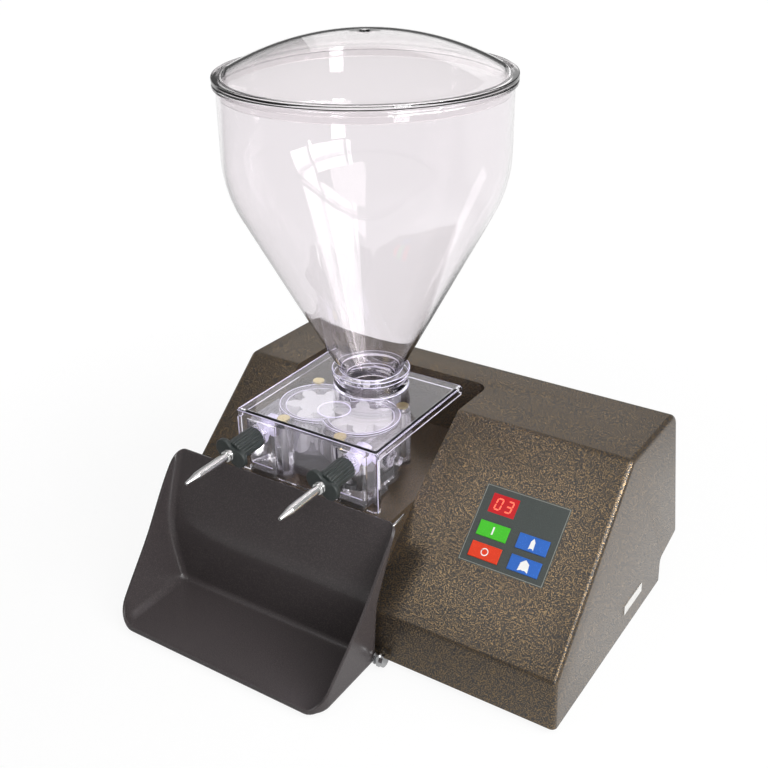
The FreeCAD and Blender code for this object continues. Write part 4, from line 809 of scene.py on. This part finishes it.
# The clear cover: a vacuum-formed clear plate with side lips and a front skirt, dropped over the
# pump; its collar carries the hopper.
dress(clear_plastic("cover sheet", "f9f7fd", gloss=0.012, haze=0.025), "clear_cover")
cover_rides = body_of(body["clear_cover"])[0]
seat_gap, cover_top, cover_lip, skirt_z = 0.3, 224.6, 10.5, 150.55
lip_z, edge_z = cover_top - cover_lip - seat_gap, cover_top - 1.4
# Painted highlight: thin pale bars along the cover's lips, skirt corners and top edges, where the
# clear sheet shows bright lines of reflected light.
cover_glint_lines = [((-165.5, 68.0, lip_z), (-165.5, 240.0, lip_z)),
               ((17.0, 68.0, lip_z), (17.0, 240.0, lip_z)),
               ((-160.0, 243.5, lip_z), (13.0, 243.5, lip_z)),
               ((-166.9, 64.5, skirt_z), (-166.9, 64.5, 214.0)),
               ((18.4, 64.5, skirt_z), (18.4, 64.5, 214.0)),
               ((-166.0, 63.2, edge_z), (17.5, 63.2, edge_z)),
               ((-166.8, 66.0, edge_z), (-166.8, 242.0, edge_z))]
for k, (start, end) in enumerate(cover_glint_lines):
    rounded_bar("cover_edge_%d" % (k + 1), start, end, 0.55, painted_glint_plastic, cover_rides, around=8)
well_y = 193.0
# Painted highlight: thin pale rings at the edges of the collar, for the bright lines it shows.
for name, radius, level in (("collar_rim", 44.2, 245.6), ("collar_mouth", 36.2, 245.8),
                            ("collar_seat", 30.9, 235.9), ("collar_foot", 43.0, 225.1)):
    bent_bar(name, circle(radius, well_y), level, 0.5, painted_glint_plastic, cover_rides)

# The hopper: a clear funnel in one blow moulding, with a rolled rim, a straight band, a long
# cone and a spigot that stands in the pump's inlet well.
hopper_clear = clear_plastic("hopper moulding", "f6f3f5", gloss=0.008, haze=0.02, index=1.5)
axis_foot = (pump_x, well_y, 0.0)
collar_top, collar_depth, collar_bore = 246.0, 10.5, 30.5
spigot_foot, neck_foot, band_foot, rim_foot, rim_top = 206.0, 222.0, 498.0, 567.0, 573.0
bore, spigot, neck, band, rim_radius, wall = 24.6, 27.6, 30.2, 151.0, 154.7, 3.0
cone_slope = 0.525
tilt = math.atan(cone_slope)
start = collar_top - collar_depth + seat_gap + (neck - collar_bore) / cone_slope
shoulder = start + (band - neck) / cone_slope
inner_shoulder = start + (band - wall - neck + wall / math.cos(tilt)) / cone_slope
inner_foot = start + (bore - neck + wall / math.cos(tilt)) / cone_slope
bend = (band_foot - shoulder) / math.tan(tilt / 2)
hopper = turned("hopper_shell",
                [(bore, spigot_foot, 0.8), (spigot, spigot_foot, 0.8), (spigot, neck_foot),
                 (neck, neck_foot, 0.6), (neck, start, 3.0), (band, shoulder, bend),
                 (band, rim_foot, 1.0), (rim_radius, rim_foot, 2.6), (rim_radius, rim_top, 2.6),
                 (band - wall, rim_top, 1.2), (band - wall, inner_shoulder, bend - wall),
                 (bore, inner_foot, 3.0)],
                axis_foot, upright, hopper_clear, "hopper", around=160, steps=10)
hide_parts("hopper")

# The hopper's lid: a shallow clear dome with a flange that sits on the rim, a skirt inside it,
# and the small mark where the plastic entered the mould.
lid_clear = clear_plastic("lid moulding", "f5f2f3", gloss=0.01, haze=0.03, index=1.5)


def dome_line(radius, height, foot, points=18):
    """Points up a circular arc from its foot radius to the axis."""
    ball = (radius ** 2 + height ** 2) / (2 * height)
    angle = np.linspace(math.asin(radius / ball), 0, points)
    return np.stack([ball * np.sin(angle), foot + height - ball + ball * np.cos(angle)], 1)


seat, flange, skirt, skirt_out, skirt_in = rim_top + seat_gap, 5.0, 14.0, 147.7, 144.7
outside, inside = dome_line(147.0, 38.0, seat + flange), dome_line(skirt_in, 40.0, seat)
gate_radius, gate_top = 5.5, 617.8
gate = [(gate_radius, gate_top - 2.2, 0.3), (4.6, gate_top, 0.6), (0.0, gate_top)]
line = ([(rim_radius, seat, 0.4), (rim_radius, seat + flange, 1.4)]
        + [tuple(q) for q in outside[:-1] if q[0] > gate_radius + 0.1] + gate
        + [tuple(q) for q in inside[::-1]]
        + [(skirt_in, seat - skirt, 1.0), (skirt_out, seat - skirt, 1.0), (skirt_out, seat)])
dome = turned("lid_dome", line, axis_foot, upright, lid_clear, "hopper_lid", around=160, steps=6)
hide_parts("hopper_lid")

# The tray: a dark brown vacuum-formed scoop with a 3 mm wall, large rounds in its corners and a
# rolled rim. It leans against the deck's front and is located by a chromed stud at each side.
tray_plastic = moulded_plastic("tray moulding", "464142", "544d4d", share=0.2, scale=1000,
                               gloss=0.24, relief=0.06, cloud=0.04, sheen=0.5)
tray_low, tray_high, tray_front, tray_top = 3.0, 161.5, -95.1, 170.6
tray_right, right_flare, tray_left, left_flare = 49.5, 7.7, -246.0, 20.0
back_foot, back_lean, lean_from = 13.9, 0.43, 82.0


def smooth_larger(a, b, width):
    """The larger of two values, eased over a width where they cross."""
    return 0.5 * (a + b + np.sqrt((a - b) ** 2 + width ** 2))


def tray_plan(corner, angle, level, inset):
    """A point of the plan outline at a level. The right side leans out evenly, the left one less
    and less on the way up; the back stands upright and then leans back. Each corner is an arc
    about a centre set in from both walls."""
    sx, sy = np.where((corner == 0) | (corner == 3), 1.0, -1.0), np.where(corner < 2, 1.0, -1.0)
    rise = (level - tray_low) / (tray_high - tray_low)
    wall_left = tray_left + left_flare * np.clip(1.0 - rise, 0.0, 1.0) ** 2
    wall_x = np.where(sx > 0, tray_right + right_flare * rise, wall_left)
    wall_back = back_foot + back_lean * smooth_larger(level - lean_from, 0.0, 10.0)
    wall_y = np.where(sy > 0, wall_back, tray_front)
    radius = np.maximum(np.where(sy > 0, 12.0, 20.0) - inset, 2.0)
    return np.stack([wall_x - sx * (inset + radius) + radius * np.cos(angle),
                     wall_y - sy * (inset + radius) + radius * np.sin(angle), level], -1)


def tray_scoop(per_arc=9, per_side=26, rows=18):
    """The scoop's outer skin. Around: four arcs and four straights, each straight a blend from one
    arc's end to the next one's start. Upwards: out over the floor, round a quarter turn, then up
    the wall to the rim, which climbs with y to the tray's top. As the walls lean, the rim's y
    depends on its height in turn: rounds of both settle it."""
    turn = np.linspace(0, math.pi / 2, per_arc)
    first = np.concatenate([[(k, k * math.pi / 2 + a, k, 0.0) for a in turn]
                            + [(k, (k + 1) * math.pi / 2, (k + 1) % 4, w)
                               for w in np.linspace(0, 1, per_side + 1)[1:-1]] for k in range(4)])
    here_corner, here_angle, next_corner, weight = first.T[:, None, :]

    def spot(level, inset):
        one = tray_plan(here_corner, here_angle, level, inset)
        two = tray_plan(next_corner, np.where(weight > 0, here_angle, 0.0), level, inset)
        return one * (1 - weight[..., None]) + two * weight[..., None]

    flat = np.zeros_like(weight)
    rim = flat + 100.0
    for _ in range(40):
        y = spot(rim, flat)[..., 1]
        lip, side = 12.0 + 0.92 * (y + 95.0), 77.8 + 1.47 * (y + 21.9)
        rim = -smooth_larger(-smooth_larger(lip, side, 10.0), -tray_top, 30.0)
    bend = np.clip(rim - tray_low - 3.0, 4.0, 10.0)
    quarter = np.linspace(0, math.pi / 2, 9)[:, None]
    foot = spot(tray_low + bend * (1 - np.cos(quarter)), bend * (1 - np.sin(quarter)))
    climb = np.linspace(0, 1, rows)[1:, None]
    wall = spot(tray_low + bend + (rim - tray_low - bend) * climb, flat + 0.0 * climb)
    middle = np.array([-88.0, -40.0, tray_low])
    outwards = np.array([0.0, 0.5, 0.9])[:, None, None]
    floor = middle + (foot[:1] - middle) * outwards
    points = np.concatenate([floor, foot, wall])
    return points.reshape(-1, 3), grid_faces(points.shape[0], points.shape[1])


scoop = new_piece("tray_scoop", *tray_scoop(), tray_plastic, body_of(body["drip_tray"])[0],
                  sharp=60)
thickness = scoop.modifiers.new("wall", "SOLIDIFY")
thickness.thickness, thickness.offset, thickness.use_even_offset = 0.003, -1.0, True
rolled = scoop.modifiers.new("rolled rim", "BEVEL")
rolled.limit_method, rolled.angle_limit = "ANGLE", math.radians(60)
rolled.width, rolled.segments = 0.0011, 3
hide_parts("drip_tray")
hook = rounded_bar("tray_hook", (51.8, 41.5, 160.3), (50.8, 64.0, 161.4), 1.4, steel,
                   body_of(body["tray_hanger"])[0])
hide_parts("tray_hanger")
chrome = metal("chrome", "d8d9da", gloss=0.1, spread=0.06, lines=1200, relief=0.02)
dress(chrome, "tray_stud_left", "tray_stud_right", "stud_lug_left", "stud_lug_right")
